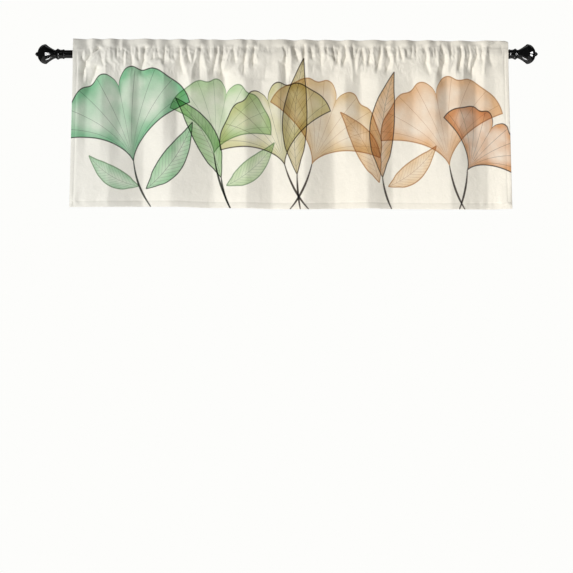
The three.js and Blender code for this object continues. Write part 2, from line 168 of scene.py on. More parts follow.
# The creases of the front layer, each a soft fold line between two flanks. A row gives the height of a
# ridge, or the depth of a trough as less than 0, then the widths of the left and the right flank, and
# then the places (x, z) that the line runs through.
CREASES = [
    (0.7, 3, 3, [(-579, 12), (-555, 12), (-538, 13)]),
    (-5.2, 8, 9, [(-503, 22), (-518, 6), (-533, -7), (-544, -22), (-550, -46), (-552, -84)]),
    (-4.8, 7, 9, [(-513, -28), (-520, -54), (-529, -78), (-538, -112)]),
    (1.4, 4, 3, [(-545, -34), (-543, -58), (-545, -84)]),
    (1.8, 8, 9, [(-506, 6), (-520, -8), (-531, -22), (-534, -40)]),
    (-2.0, 5, 3, [(-552, 10), (-554, -8), (-553, -24)]),
    (0.8, 3, 3, [(-547, 15), (-546, -14)]),
    (-1.8, 5, 3, [(-535, 21), (-532, 4), (-526, -6)]),
    (-1.6, 4, 4, [(-506, 6), (-503, -8), (-499, -22), (-494, -42)]),
    (1.5, 5, 5, [(-484, 21), (-490, 4), (-492, -15), (-490, -40), (-489, -76)]),
    (1.2, 5, 4, [(-479, 25), (-478, 0), (-476, -24)]),
    (-1.6, 4, 4, [(-461, 25), (-460, 0), (-461, -18)]),
    (-1.2, 4, 3, [(-451, 23), (-450, 2)]),
    (1.0, 5, 4, [(-446, 34), (-446, 8)]),
    (-2.0, 4, 5, [(-440, 17), (-441, -10), (-443, -36)]),
    (1.4, 4, 5, [(-434, 17), (-436, -10), (-436, -42)]),
    (-2.4, 7, 5, [(-424, 25), (-422, 2), (-419, -15), (-419, -46)]),
    (1.2, 5, 4, [(-409, 25), (-411, 0), (-411, -30)]),
    (-2.0, 4, 4, [(-402, 23), (-401, 0), (-402, -24)]),
    (1.2, 4, 5, [(-396, 21), (-397, -2), (-400, -20)]),
    (-3.4, 7, 8, [(-384, 25), (-384, 2), (-387, -18), (-392, -38), (-397, -64)]),
    (1.6, 8, 6, [(-342, -14), (-358, -25), (-374, -37), (-392, -54)]),
    (-1.2, 4, 4, [(-357, 23), (-370, 8), (-380, -2)]),
    (-1.4, 4, 4, [(-362, 8), (-362, -8), (-360, -20)]),
    (-1.2, 4, 3, [(-351, 23), (-350, 2)]),
    (-1.0, 3, 3, [(-347, 4), (-347, -16)]),
    (1.6, 12, 10, [(-344, -10), (-338, -28), (-332, -50), (-330, -95)]),
    (-2.4, 6, 5, [(-330, 27), (-330, 4), (-331, -12), (-334, -36)]),
    (1.0, 4, 3, [(-322, 25), (-325, 0), (-328, -20)]),
    (0.9, 3, 3, [(-318, 21), (-319, -5), (-318, -24)]),
    (-1.4, 4, 4, [(-306, 15), (-305, -6), (-302, -18)]),
    (-3.2, 9, 7, [(-290, 25), (-288, 0), (-288, -22), (-283, -42), (-276, -68)]),
    (2.0, 7, 8, [(-284, 21), (-284, 0), (-281, -20), (-273, -40), (-266, -60), (-262, -105)]),
    (-2.0, 5, 4, [(-270, 25), (-269, 4), (-266, -10), (-260, -32)]),
    (1.4, 4, 4, [(-265, 19), (-259, -8), (-256, -30)]),
    (-1.6, 6, 4, [(-246, 17), (-250, -10), (-255, -32)]),
    (1.8, 5, 7, [(-242, 19), (-246, -12), (-251, -28), (-257, -50), (-258, -92)]),
    (-2.8, 8, 8, [(-232, 27), (-233, 0), (-236, -20), (-235, -45), (-234, -84)]),
    (1.8, 10, 9, [(-226, 4), (-221, -26), (-214, -55), (-208, -105)]),
    (-1.6, 5, 3, [(-206, 23), (-207, 0), (-209, -20)]),
    (0.9, 3, 3, [(-203, 19), (-204, -10)]),
    (1.0, 4, 3, [(-198, 29), (-196, 5), (-198, -12)]),
    (-2.8, 7, 6, [(-187, 25), (-187, 2), (-191, -16), (-196, -34), (-201, -70)]),
    (1.6, 5, 5, [(-181, 25), (-183, 0), (-185, -14), (-186, -42)]),
    (-2.8, 6, 6, [(-171, 27), (-172, 2), (-175, -12), (-177, -28), (-175, -45), (-171, -80)]),
    (-1.2, 4, 3, [(-167, -2), (-169, -22)]),
    (-1.8, 15, 6, [(-173, -38), (-170, -66), (-170, -126)]),
    (1.8, 5, 7, [(-145, 25), (-155, 0), (-162, -18), (-168, -34), (-174, -58)]),
    (-1.0, 4, 4, [(-154, 21), (-161, 0), (-167, -20)]),
    (-2.2, 6, 4, [(-144, 23), (-141, 0), (-139, -14), (-138, -32)]),
    (1.2, 5, 4, [(-129, 25), (-134, 2), (-135, -18)]),
    (-1.8, 7, 14, [(-166, -130), (-166, -62), (-158, -46), (-142, -37), (-126, -34)]),
    (-2.6, 7, 6, [(-107, 27), (-109, 4), (-112, -12), (-115, -30), (-116, -74)]),
    (1.4, 6, 7, [(-103, 32), (-105, 10), (-104, -15), (-103, -50)]),
    (-2.8, 7, 6, [(-87, 25), (-88, 0), (-90, -18), (-91, -46)]),
    (1.2, 6, 5, [(-72, 31), (-76, 4), (-81, -4), (-78, -28)]),
    (-0.9, 3, 3, [(-56, 23), (-50, 2), (-44, -6)]),
    (-0.7, 3, 3, [(-43, 17), (-43, -4)]),
    (-1.4, 7, 10, [(-60, -76), (-56, -42), (-44, -30), (-24, -23)]),
    (1.2, 6, 4, [(-14, 21), (-8, 0), (-8, -12), (-16, -28)]),
    (0.9, 12, 8, [(-24, -18), (-20, -40), (-16, -70), (-12, -115)]),
    (-2.2, 7, 6, [(-10, 25), (-3, 2), (-2, -14), (-3, -30), (-1, -55), (-3, -100)]),
    (-1.2, 4, 3, [(5, 21), (5, 0), (4, -12)]),
    (2.0, 7, 9, [(10, 23), (13, 0), (13, -20), (11, -45), (6, -80), (4, -115)]),
    (-2.6, 6, 5, [(20, 29), (25, 4), (31, -12), (35, -30)]),
    (1.4, 6, 5, [(36, 32), (38, 10), (41, -8), (44, -30)]),
    (-2.6, 6, 5, [(47, 31), (49, 8), (48, -12), (47, -38)]),
    (1.4, 6, 6, [(58, 23), (59, 0), (57, -20), (58, -60)]),
    (-2.0, 5, 5, [(64, 23), (69, 2), (70, -20)]),
    (1.2, 5, 5, [(77, 31), (78, 4), (78, -18)]),
    (-1.6, 5, 6, [(91, 25), (94, 0), (93, -20), (95, -56)]),
    (1.2, 6, 5, [(101, 29), (103, 0), (101, -26)]),
    (-1.2, 4, 3, [(109, 23), (109, 0)]),
    (0.9, 4, 4, [(114, 19), (114, -5), (116, -24)]),
    (1.4, 5, 5, [(119, 17), (124, -8), (127, -24), (128, -46)]),
    (-2.2, 5, 4, [(126, 27), (127, 4), (130, -10), (132, -26)]),
    (-2.0, 5, 5, [(139, 17), (139, -8), (138, -36)]),
    (1.6, 5, 6, [(153, 25), (148, 2), (147, -14), (146, -48)]),
    (-2.4, 5, 5, [(157, 27), (161, 2), (161, -12), (156, -24), (151, -42)]),
    (1.8, 6, 7, [(167, 21), (173, -6), (177, -24), (179, -45), (181, -95)]),
    (-2.2, 5, 4, [(180, 29), (180, 4), (180, -18)]),
    (-1.6, 5, 5, [(198, 19), (189, -4), (186, -20), (186, -54)]),
    (1.4, 5, 6, [(203, 8), (195, -10), (193, -30), (191, -60)]),
    (-2.0, 5, 5, [(204, 19), (208, -4), (210, -18), (209, -36)]),
    (1.2, 5, 5, [(212, 21), (216, -4), (216, -20), (215, -42)]),
    (-2.2, 6, 6, [(223, 23), (226, 0), (226, -16), (222, -40)]),
    (-1.0, 4, 3, [(231, 19), (231, -2)]),
    (1.6, 7, 6, [(232, 23), (235, -4), (238, -20), (240, -60)]),
    (-2.8, 7, 5, [(256, 27), (256, 2), (253, -14), (249, -30), (242, -60)]),
    (1.4, 5, 7, [(262, 21), (262, -4), (259, -20), (254, -48)]),
    (-3.0, 8, 7, [(269, 23), (275, 0), (281, -12), (281, -24), (275, -38), (266, -62)]),
    (1.6, 6, 7, [(279, 29), (284, 4), (290, -10), (290, -26), (283, -54)]),
    (-1.4, 6, 4, [(297, 21), (299, 0), (297, -28)]),
    (1.0, 4, 4, [(303, 23), (303, 0), (302, -20)]),
    (-2.0, 5, 4, [(305, 23), (310, 0), (314, -20)]),
    (1.2, 5, 4, [(317, 17), (320, -6), (318, -24)]),
    (-1.4, 4, 4, [(326, 17), (326, -14)]),
    (-2.4, 7, 5, [(341, 27), (341, 2), (337, -20)]),
    (-2.0, 6, 5, [(352, 29), (352, 4), (350, -12)]),
    (1.2, 7, 5, [(363, 29), (368, 4), (368, -16)]),
    (-2.4, 7, 6, [(371, 23), (380, 2), (380, -14), (378, -26), (384, -42), (389, -66)]),
    (1.4, 6, 5, [(383, 23), (388, -4), (388, -20), (393, -52)]),
    (-1.2, 3, 3, [(397, 17), (397, -14)]),
    (-1.2, 4, 3, [(405, 19), (405, -12)]),
    (1.6, 8, 7, [(407, 15), (411, -14), (413, -30), (408, -50), (401, -90)]),
    (-3.0, 9, 6, [(419, 31), (425, 6), (430, -8), (430, -22), (424, -38), (420, -60), (420, -90)]),
    (1.8, 7, 8, [(436, 31), (439, 2), (441, -16), (439, -34), (433, -62)]),
    (-1.8, 5, 4, [(447, 29), (447, 4), (445, -12)]),
    (1.2, 5, 6, [(452, 21), (453, -4), (452, -20), (446, -48)]),
    (-1.6, 6, 7, [(455, 23), (456, 0), (454, -18), (449, -36), (442, -64)]),
    (1.6, 6, 5, [(460, 25), (463, 0), (463, -20), (459, -40), (458, -74)]),
    (-2.8, 6, 7, [(470, 27), (475, 4), (474, -10), (470, -28), (464, -58)]),
    (1.8, 7, 7, [(479, 23), (484, 0), (482, -18), (479, -40), (478, -90)]),
    (-1.6, 5, 4, [(487, 23), (488, 0), (487, -20)]),
    (-2.4, 6, 5, [(492, 27), (498, 2), (497, -14), (493, -30), (488, -56)]),
    (1.4, 4, 5, [(500, 19), (502, -6), (499, -24), (494, -48)]),
    (-3.0, 8, 6, [(513, 23), (518, 0), (516, -14), (510, -26), (504, -40), (502, -84)]),
    (1.0, 4, 4, [(520, 17), (523, -14)]),
    (-2.0, 6, 4, [(529, 31), (530, 6), (529, -4), (532, -20), (533, -34)]),
    (1.5, 6, 8, [(544, 23), (540, -2), (537, -18), (536, -45), (536, -74)]),
    (-1.4, 5, 12, [(545, 23), (549, 0), (551, -14), (556, -26), (560, -44)]),
    (-1.8, 8, 7, [(545, 14), (560, 22), (580, 33)]),
    (-1.0, 5, 5, [(583, 29), (584, 8), (584, -8)]),
    (0.6, 3, 3, [(552, 9), (575, 11), (600, 14)]),
]

# How much of its height a crease has at the seam and below it, how wide its flanks are and how much
# wider each millimetre down makes them
CREASE_SHARE = {"at_seam": 1.6, "below": 2.55, "from": 12, "to": -16}
CREASE_WIDTH = 0.85
CREASE_WIDENS = 0.01

# Over how many millimetres a crease starts, over what share of its length it fades, and how round its
# line is. It isn't felt past so many flanks from its line, or so far past its ends.
CREASE_STARTS_IN = 11
CREASE_FADES_OVER = 0.3
CREASE_ROUND = 0.9
CREASE_FLANKS = 5
CREASE_REACH = 40

# The header's own soft waves, ridge and trough in turn. out: towards the room.
HEADER_WAVES = [
    {"x": -579, "out": 2},
    {"x": -543, "out": -2.6},
    {"x": -526, "out": 2.4},
    {"x": -499, "out": -2.6},
    {"x": -477, "out": 3},
    {"x": -454, "out": -1.6},
    {"x": -446, "out": -0.4},
    {"x": -430, "out": -3.2},
    {"x": -381, "out": 3.2},
    {"x": -356, "out": -1.2},
    {"x": -344, "out": 0.6},
    {"x": -317, "out": -3},
    {"x": -290, "out": 2.6},
    {"x": -265, "out": -2.6},
    {"x": -235, "out": 2.6},
    {"x": -212, "out": -1.4},
    {"x": -200, "out": 0.2},
    {"x": -167, "out": -3.2},
    {"x": -124, "out": 3},
    {"x": -106, "out": -0.6},
    {"x": -95, "out": 0.9},
    {"x": -78, "out": -2.2},
    {"x": -45, "out": 0.6},
    {"x": -10, "out": 3},
    {"x": 22, "out": -3},
    {"x": 49, "out": 2.8},
    {"x": 86, "out": -2.6},
    {"x": 103, "out": 1.6},
    {"x": 147, "out": -3},
    {"x": 169, "out": 1.8},
    {"x": 197, "out": -2.2},
    {"x": 239, "out": 3.2},
    {"x": 271, "out": -2},
    {"x": 287, "out": 0.6},
    {"x": 296, "out": -0.2},
    {"x": 325, "out": 2.8},
    {"x": 352, "out": -2.4},
    {"x": 385, "out": 3},
    {"x": 407, "out": -0.8},
    {"x": 416, "out": 0.4},
    {"x": 445, "out": -2.8},
    {"x": 471, "out": 1.4},
    {"x": 509, "out": -3.2},
    {"x": 545, "out": 2.8},
    {"x": 567, "out": 1.2},
    {"x": 601, "out": 0.6},
]

# The broad folds of the lower panel. out: towards the room. drop: the hem below HEM_LEVEL.
HEM_FOLDS = [
    {"x": -579, "out": -2, "drop": -4},
    {"x": -475, "out": 8, "drop": -4},
    {"x": -385, "out": -9, "drop": -5},
    {"x": -309, "out": 7, "drop": -4.5},
    {"x": -197, "out": -10, "drop": -1.5},
    {"x": -107, "out": 8, "drop": 0},
    {"x": -39, "out": -6, "drop": 1.5},
    {"x": 48, "out": 9, "drop": 2.5},
    {"x": 128, "out": -8, "drop": 0.8},
    {"x": 216, "out": 9, "drop": 0},
    {"x": 284, "out": -9, "drop": 1.2},
    {"x": 437, "out": 10, "drop": 2.8},
    {"x": 540, "out": -8, "drop": 2.5},
    {"x": 601, "out": 3, "drop": 1},
]

# Softer folds of the panel's upper half, which run out between the broad ones
UPPER_FOLDS = [
    {"x": -579, "out": 0},
    {"x": -564, "out": 1},
    {"x": -541, "out": -2.2},
    {"x": -499, "out": 4},
    {"x": -450, "out": -2.5},
    {"x": -423, "out": 1},
    {"x": -401, "out": -2.5},
    {"x": -333, "out": 4},
    {"x": -295, "out": -2.5},
    {"x": -260, "out": 2},
    {"x": -167, "out": -4},
    {"x": -113, "out": 4},
    {"x": -67, "out": -1},
    {"x": -23, "out": 2.5},
    {"x": 10, "out": -3},
    {"x": 58, "out": 3},
    {"x": 118, "out": -2},
    {"x": 159, "out": 2},
    {"x": 200, "out": -3.5},
    {"x": 249, "out": 3.5},
    {"x": 341, "out": -3},
    {"x": 401, "out": 4},
    {"x": 434, "out": -1.5},
    {"x": 466, "out": 3},
    {"x": 513, "out": -3.5},
    {"x": 534, "out": 0},
    {"x": 564, "out": -1},
    {"x": 597, "out": 1},
]

# Where the upper folds show, how much of their depths the two kinds of fold have, and how straight
# their flanks are
UPPER_FOLD_LEVELS = {"top": -20, "full": -88, "low": -150, "foot": -350}
UPPER_FOLD_SHARE = 2.1
HEM_FOLD_SHARE = 1.2
FOLD_CRISP = 0.7

# Where the front layer stands furthest out, and where the fine rows of the flat cut begin
FULLEST_LEVEL = -6
FINE_FROM = -78

# Section through the front layer along a ridge between two gathers, from the header down
FRONT_SECTION = [
    {"z": 60, "out": -1},
    {"z": 30, "out": 9},
    {"z": TOP_SEAM, "out": 13.6},
    {"z": 10.5, "out": 15.2},
    {"z": 5, "out": 17.2},
    {"z": 0, "out": 18.6},
    {"z": FULLEST_LEVEL, "out": 19},
    {"z": -14, "out": 18.6},
    {"z": LOWER_SEAM, "out": 17},
    {"z": -50, "out": 14.6},
    {"z": -110, "out": 12},
    {"z": -460, "out": 12},
]

# Section through the pocket's back layer behind the rod, between its two seams
BACK_SECTION = [
    {"z": 10.5, "out": -11},
    {"z": 5, "out": -17.5},
    {"z": 0, "out": -18.6},
    {"z": FULLEST_LEVEL, "out": -18},
    {"z": -14, "out": -13.4},
    {"z": -21, "out": -5},
]

# What the waves and gathers do to the cloth
HEADER_CORNER = {"width": 9, "drop": 3.4}
HEADER_WAVE_RISE = 0.25
HEADER_WAVE_SHARE = 1.75
SEAM_WAVE_SHARE = 0.62
SEAM_GATHER_SHARE = 0.78
POCKET_GATHER_SHARE = 0.14
BACK_GATHER_SHARE = 0.6
GATHER_HALF_WIDTH = 2.2
GATHER_WIDTH_BY_DEPTH = 0.24
GATHER_SPREAD_FROM = 8
GATHER_SPREAD = 32
GATHER_FADES_FROM = 0
GATHER_REACH = 75
GATHER_SWAY = {"aside": 2.6, "down": 21, "seed": 3.1}
GATHER_SKEW = {"share": 0.32, "across": 7, "down": 60, "seed": 1.7}
RIDGE_SHARE = 0.2
RIDGE_AWAY = 1.7

# Fine unevenness: how far apart ripples are across and down, and their height. The hem's puckers are
# higher near its corners.
DRAG_RIPPLE = {"across": 26, "down": 130, "height": 0.9, "seed": 5.2}
DRAG_FADE = 260
SLACK_RIPPLE = {"across": 150, "down": 210, "height": 2.2, "seed": 9.6}
SLACK_AT_TOP = 0.3
HEM_PUCKER = {"across": 11, "down": 30, "height": 1.0, "seed": 2.6}
HEM_PUCKER_REACH = 10
CORNER_PUCKER = {"more": 6.5, "reach": 60}
SEAM_WANDER = {"across": 15, "height": 0.9, "reach": 9, "seed": (8.8, 0.7)}

# How far stitches pull the cloth in, and how wide the dent is
SEAM_PINCH = {"depth": 0.08, "width": 1.5}
HEM_PINCH = {"depth": 0.8, "width": 2.2}
SIDE_PINCH_FADE = 20

# Tucks: sharp little ridges that fork and meet, pressed into the cloth as it was pushed along the rod,
# and coarser ones below that they run into. Each size shows fully between its full and its low level.
TUCKS = [
    {
        "across": 10, "down": 24, "height": 3.0, "slant": 0.7, "seed": 0.4,
        "top": 24, "full": 12, "low": -4, "foot": -32,
    },
    {
        "across": 17, "down": 46, "height": 4.4, "slant": 0.5, "seed": 3.7,
        "top": 34, "full": 4, "low": -26, "foot": -96,
    },
]

# The value of the noise that leaves the cloth where it is, and how far apart in the noise two slants
# are read for each unit between them
TUCK_MIDDLE = 0.2
TUCK_SEED_STEP = 20

# How a tuck's line bends, in shares of its spacing, and how tucked the cloth is along the rod
TUCK_BEND = {"across": 24, "down": 15, "height": 0.8, "seed": 6.3}
TUCKED = [
    {"x": -579, "share": 0.2},
    {"x": -541, "share": 0.35},
    {"x": -518, "share": 1},
    {"x": -84, "share": 1},
    {"x": -70, "share": 0.3},
    {"x": -20, "share": 0.35},
    {"x": -6, "share": 1},
    {"x": 538, "share": 1},
    {"x": 556, "share": 0.1},
]

ROD_RADIUS = (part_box("curtain_rod")[1].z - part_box("curtain_rod")[0].z) / 2 / MM


def smooth_step(share):
    """Goes from 0 to 1 as the share does, slowly at both ends."""
    t = min(1.0, max(0.0, share))
    return t * t * (3 - 2 * t)


def shown(z, top, full, low, foot):
    """How fully something shows at a level: all of it between full and low, and none above its top or
    below its foot."""
    return smooth_step((top - z) / (top - full)) * smooth_step((z - foot) / (low - foot))


def nearness(place, line, reach):
    """1 on a line, and fading away on both sides of it."""
    return math.exp(-(((place - line) / reach) ** 2))


def ripple(across, z, size, share=1.0):
    """A ripple of the given size at a point, at a share of its height."""
    place = Vector((across / size["across"], z / size["down"], size["seed"]))
    return size["height"] * share * noise.noise(place)


def from_edge(across):
    """How far a place is from the nearer side edge."""
    return min(across - LEFT_EDGE, RIGHT_EDGE - across)


def along(table, x, column, crisp=0.0):
    """Reads a column of a table sorted by x, with an even curve between its rows. crisp turns the
    curve into straight flanks that meet in a fold line."""
    if x <= table[0]["x"]:
        return table[0][column]
    for before, after in zip(table, table[1:]):
        if x < after["x"]:
            run = (x - before["x"]) / (after["x"] - before["x"])
            share = crisp * run + (1 - crisp) * smooth_step(run)
            return before[column] + (after[column] - before[column]) * share
    return table[-1][column]


def slopes_of(section):
    """The slope at each row of a section, flat where the outline turns, so that no curve overshoots."""
    steps = [(b["out"] - a["out"]) / (b["z"] - a["z"]) for a, b in zip(section, section[1:])]
    slopes = [steps[0]]
    for before, after in zip(steps, steps[1:]):
        slopes.append(2 * before * after / (before + after) if before * after > 0 else 0.0)
    return slopes + [steps[-1]]


FRONT_SLOPES = slopes_of(FRONT_SECTION)


def front_ridge(z):
    """How far out the front layer is at a level, along a ridge."""
    for index, after in enumerate(FRONT_SECTION[1:]):
        if z >= after["z"]:
            break
    before = FRONT_SECTION[index]
    width = after["z"] - before["z"]
    t = (z - before["z"]) / width
    return (
        before["out"] * (1 + 2 * t) * (1 - t) ** 2
        + after["out"] * t * t * (3 - 2 * t)
        + FRONT_SLOPES[index] * width * t * (1 - t) ** 2
        - FRONT_SLOPES[index + 1] * width * t * t * (1 - t)
    )


def gather_centre(gather, z):
    """Where a gather's trough is at a level: it leans from the top seam down, and sways a little."""
    lean = min(1.0, max(0.0, (TOP_SEAM - z) / (TOP_SEAM - LEAN_END)))
    sway = noise.noise(Vector((gather["x"], z / GATHER_SWAY["down"], GATHER_SWAY["seed"])))
    return gather["x"] + gather["lean"] * lean + GATHER_SWAY["aside"] * sway


@functools.cache
def gathers_near(across):
    """The gathers that may be felt at a place along the rod, kept for all the rows there."""
    return [row for row in GATHERS if abs(row["x"] - across) < GATHER_REACH]


@functools.cache
def creases_near(across):
    """The creases that may be felt at a place along the rod, kept for all the rows there."""
    near = []
    for crease in CREASES:
        *_, path = crease
        places = [x for x, _ in path]
        if min(places) - CREASE_REACH < across < max(places) + CREASE_REACH:
            near.append(crease)
    return near


def place_on(path, across, z):
    """The nearest place on a path: how far it is from the point, whether the point is to its right,
    and how far it is from the path's two ends."""
    nearest = None
    run = 0.0
    for (x0, z0), (x1, z1) in zip(path, path[1:]):
        dx, dz = x1 - x0, z1 - z0
        length = math.hypot(dx, dz)
        share = min(1.0, max(0.0, ((across - x0) * dx + (z - z0) * dz) / (length * length)))
        aside = across - x0 - share * dx
        distance = math.hypot(aside, z - z0 - share * dz)
        if nearest is None or distance < nearest[0]:
            nearest = (distance, aside > 0, run + share * length)
        run += length
    return nearest[0], nearest[1], nearest[2], run - nearest[2]


def can_reach(path, z):
    """Whether a crease may be felt at a level. One that runs down the cloth has gone soon past its two
    ends, and one that runs up or along it is felt further."""
    top, foot = path[0][1], path[-1][1]
    return top <= foot or foot - CREASE_REACH < z < top + CREASE_REACH


def crease_out(across, z):
    """How far out the creases push a point. Each is a soft fold line with a flank on either side."""
    widened_by = CREASE_WIDTH + CREASE_WIDENS * max(0.0, -z)
    out = 0.0
    for height, left, right, path in creases_near(across):
        if not can_reach(path, z):
            continue
        distance, on_right, from_start, from_end = place_on(path, across, z)
        width = (right if on_right else left) * widened_by
        if distance > CREASE_FLANKS * width:
            continue
        ends = smooth_step(from_start / CREASE_STARTS_IN)
        ends *= smooth_step(from_end / (CREASE_FADES_OVER * (from_start + from_end)))
        out += height * ends * math.exp((CREASE_ROUND - math.hypot(distance, CREASE_ROUND)) / width)
    share = CREASE_SHARE
    below = smooth_step((share["from"] - z) / (share["from"] - share["to"]))
    return out * (share["at_seam"] + (share["below"] - share["at_seam"]) * below)


def tucks(across, z):
    """How far out the tucks push a point. Two sets of ridged noise slant against each other, so that
    thin ridges meet and part."""
    out = 0.0
    bend = ripple(across, z, TUCK_BEND)
    for size in TUCKS:
        if not size["foot"] < z < size["top"]:
            continue
        valley = 1.0
        for slant in (-size["slant"], size["slant"]):
            run = (across + slant * z) / size["across"] + bend
            place = Vector((run, z / size["down"], size["seed"] + TUCK_SEED_STEP * slant))
            valley = min(valley, abs(noise.noise(place)))
        share = shown(z, size["top"], size["full"], size["low"], size["foot"])
        out += size["height"] * (TUCK_MIDDLE - valley) * share
    return out * along(TUCKED, across, "share")


def gather_depth(across, z):
    """Depth at a point of the gathers near it: steeper on one side, with a low ridge on each."""
    below = max(0.0, GATHER_SPREAD_FROM - z)
    depth = 0.0
    for gather in gathers_near(across):
        share = shown(z, GATHER_START, GATHER_FULL, GATHER_FADES_FROM, gather["foot"])
        if share <= 0:
            continue
        place = Vector((gather["x"] / GATHER_SKEW["across"], GATHER_SKEW["seed"], z / GATHER_SKEW["down"]))
        skew = 1 + GATHER_SKEW["share"] * noise.noise(place)
        width = (GATHER_HALF_WIDTH + GATHER_WIDTH_BY_DEPTH * gather["depth"]) * gather.get("wide", 1)
        width *= 1 + below / GATHER_SPREAD
        offset = (across - gather_centre(gather, z)) / width
        offset *= skew if offset > 0 else 2 - skew
        trough = math.exp(-offset * offset)
        left = math.exp(-(offset + RIDGE_AWAY) ** 2)
        right = math.exp(-(offset - RIDGE_AWAY) ** 2)
        depth += gather["depth"] * share * (trough - RIDGE_SHARE * (left + right))
    return depth


def header_top(across):
    """The level of the header's fold: it slopes, rises with the waves and drops at its right corner."""
    share = (across - LEFT_EDGE) / (RIGHT_EDGE - LEFT_EDGE)
    slope = HEADER_TOP_LEFT + (HEADER_TOP_RIGHT - HEADER_TOP_LEFT) * share
    corner = max(0.0, across - (RIGHT_EDGE - HEADER_CORNER["width"])) / HEADER_CORNER["width"]
    waves = along(HEADER_WAVES, across, "out")
    return slope + HEADER_WAVE_RISE * waves - HEADER_CORNER["drop"] * corner ** 2


def hem_line(across):
    """The level of the hem's fold, which dips and rises with the broad folds."""
    return HEM_LEVEL - along(HEM_FOLDS, across, "drop")


def hung_level(across, level):
    """Turns a level of the plan to a height. The header's top slopes, the seam wanders a little and
    the hem dips."""
    if level > TOP_SEAM:
        share = (level - TOP_SEAM) / (HEADER_TOP_LEFT - TOP_SEAM)
        height = TOP_SEAM + share * (header_top(across) - TOP_SEAM)
    else:
        dip = smooth_step((BROAD_FOLD_FULL - level) / (BROAD_FOLD_FULL - HEM_LEVEL))
        height = level + dip * (hem_line(across) - HEM_LEVEL)
    place = Vector((across / SEAM_WANDER["across"], *SEAM_WANDER["seed"]))
    wander = SEAM_WANDER["height"] * noise.noise(place)
    return height + wander * nearness(level, TOP_SEAM, SEAM_WANDER["reach"])


def header_waves(across, z):
    """The header's soft waves, smaller at its seam and gone at the pocket's lower one."""
    up = smooth_step((z - TOP_SEAM) / (HEADER_MIDDLE - TOP_SEAM))
    share = SEAM_WAVE_SHARE + (HEADER_WAVE_SHARE - SEAM_WAVE_SHARE) * up
    share *= smooth_step((z - LOWER_SEAM) / (TOP_SEAM - LOWER_SEAM))
    return share * along(HEADER_WAVES, across, "out")


def broad_share(z):
    """How much of the broad folds' depth there is at a level. They grow towards the hem."""
    return smooth_step((BROAD_FOLD_START - z) / (BROAD_FOLD_START - BROAD_FOLD_FULL))


def panel_folds(across, z):
    """The folds of the hanging panel: soft ones in its upper half, and broad ones down to the hem."""
    upper = UPPER_FOLD_SHARE * shown(z, **UPPER_FOLD_LEVELS)
    broad = HEM_FOLD_SHARE * broad_share(z)
    folds = upper * along(UPPER_FOLDS, across, "out", FOLD_CRISP)
    return folds + broad * along(HEM_FOLDS, across, "out", FOLD_CRISP)


def unevenness(across, z):
    """Drag lines under the pocket, slack in the panel, and puckers where the hem is sewn."""
    drag = math.exp(-max(0.0, LOWER_SEAM - z) / DRAG_FADE)
    slack = SLACK_AT_TOP + (1 - SLACK_AT_TOP) * broad_share(z)
    pucker = 1 + CORNER_PUCKER["more"] * nearness(from_edge(across), 0, CORNER_PUCKER["reach"])
    pucker *= nearness(z, hem_line(across) + HEM_STITCH, HEM_PUCKER_REACH)
    out = ripple(across, z, DRAG_RIPPLE, drag) + ripple(across, z, SLACK_RIPPLE, slack)
    return out + ripple(across, z, HEM_PUCKER, pucker)


def stitch_pinch(across, z):
    """How far the stitches of the seam, the hem and the side hems pull the front layer in."""
    seam = nearness(z, TOP_SEAM, SEAM_PINCH["width"])
    hem = nearness(z, hem_line(across) + HEM_STITCH, HEM_PINCH["width"])
    side = nearness(from_edge(across), SIDE_STITCH, HEM_PINCH["width"])
    side *= smooth_step((TOP_SEAM - z) / SIDE_PINCH_FADE)
    return SEAM_PINCH["depth"] * seam + HEM_PINCH["depth"] * max(hem, side)


def front_out(across, z):
    """How far out the front layer is at a point, with all its gathers, folds and ripples."""
    header = smooth_step((z - GATHER_FULL) / (TOP_SEAM - GATHER_FULL))
    gathered = 1 - (1 - SEAM_GATHER_SHARE) * header
    out = front_ridge(z) + header_waves(across, z) + panel_folds(across, z) + unevenness(across, z)
    out += gathered * (tucks(across, z) - POCKET_GATHER_SHARE * gather_depth(across, z))
    return out + crease_out(across, z) - stitch_pinch(across, z)


def clear_of_rod(out, z):
    """Pushes a point that would touch the rod straight out to the cloth's own distance from it."""
    least = ROD_RADIUS + ROD_CLEARANCE
    distance = math.hypot(out, z)
    if distance >= least:
        return out, z
    return out * least / distance, z * least / distance


def layer_gap(across):
    """The space between two sewn layers, wider where the side hems lie between them."""
    corner = 1 - smooth_step((from_edge(across) - CORNER_REACH) / CORNER_FADE)
    return LAYER_GAP + CORNER_GAP * corner


# Rows of the flat cut, in order from the hem's turned edge, up the front, over the header and down the
# back of the pocket. A row is a kind and a number that the kind needs. Those of the hem are so far
# above its fold.
FOLD_STEPS = [30, 90, 150]
HEM_BACK_ROWS = [HEM_DEPTH, 9.9, 2]
HEM_FRONT_ROWS = [5, 10, 13.5, 15, HEM_STITCH, 18, 20]
HEADER_BACK_ROWS = 4
BACK_STEPS = 12

# Stretches of the front above its hem. crowd: how strongly the rows crowd towards the named end.
FRONT_STRETCHES = [
    {"from": HEM_LEVEL + HEM_FRONT_ROWS[-1], "to": FINE_FROM, "rows": 17, "crowd": 1.3, "towards": "to"},
    {"from": FINE_FROM, "to": LOWER_SEAM, "rows": 14, "crowd": 1.2, "towards": "to"},
    {"from": LOWER_SEAM, "to": FULLEST_LEVEL, "rows": 9, "crowd": 1.15, "towards": "from"},
    {"from": FULLEST_LEVEL, "to": TOP_SEAM, "rows": 9, "crowd": 1.5, "towards": "to"},
    {"from": TOP_SEAM, "to": HEADER_TOP_LEFT - LAYER_GAP, "rows": 8, "crowd": 1.3, "towards": "from"},
]


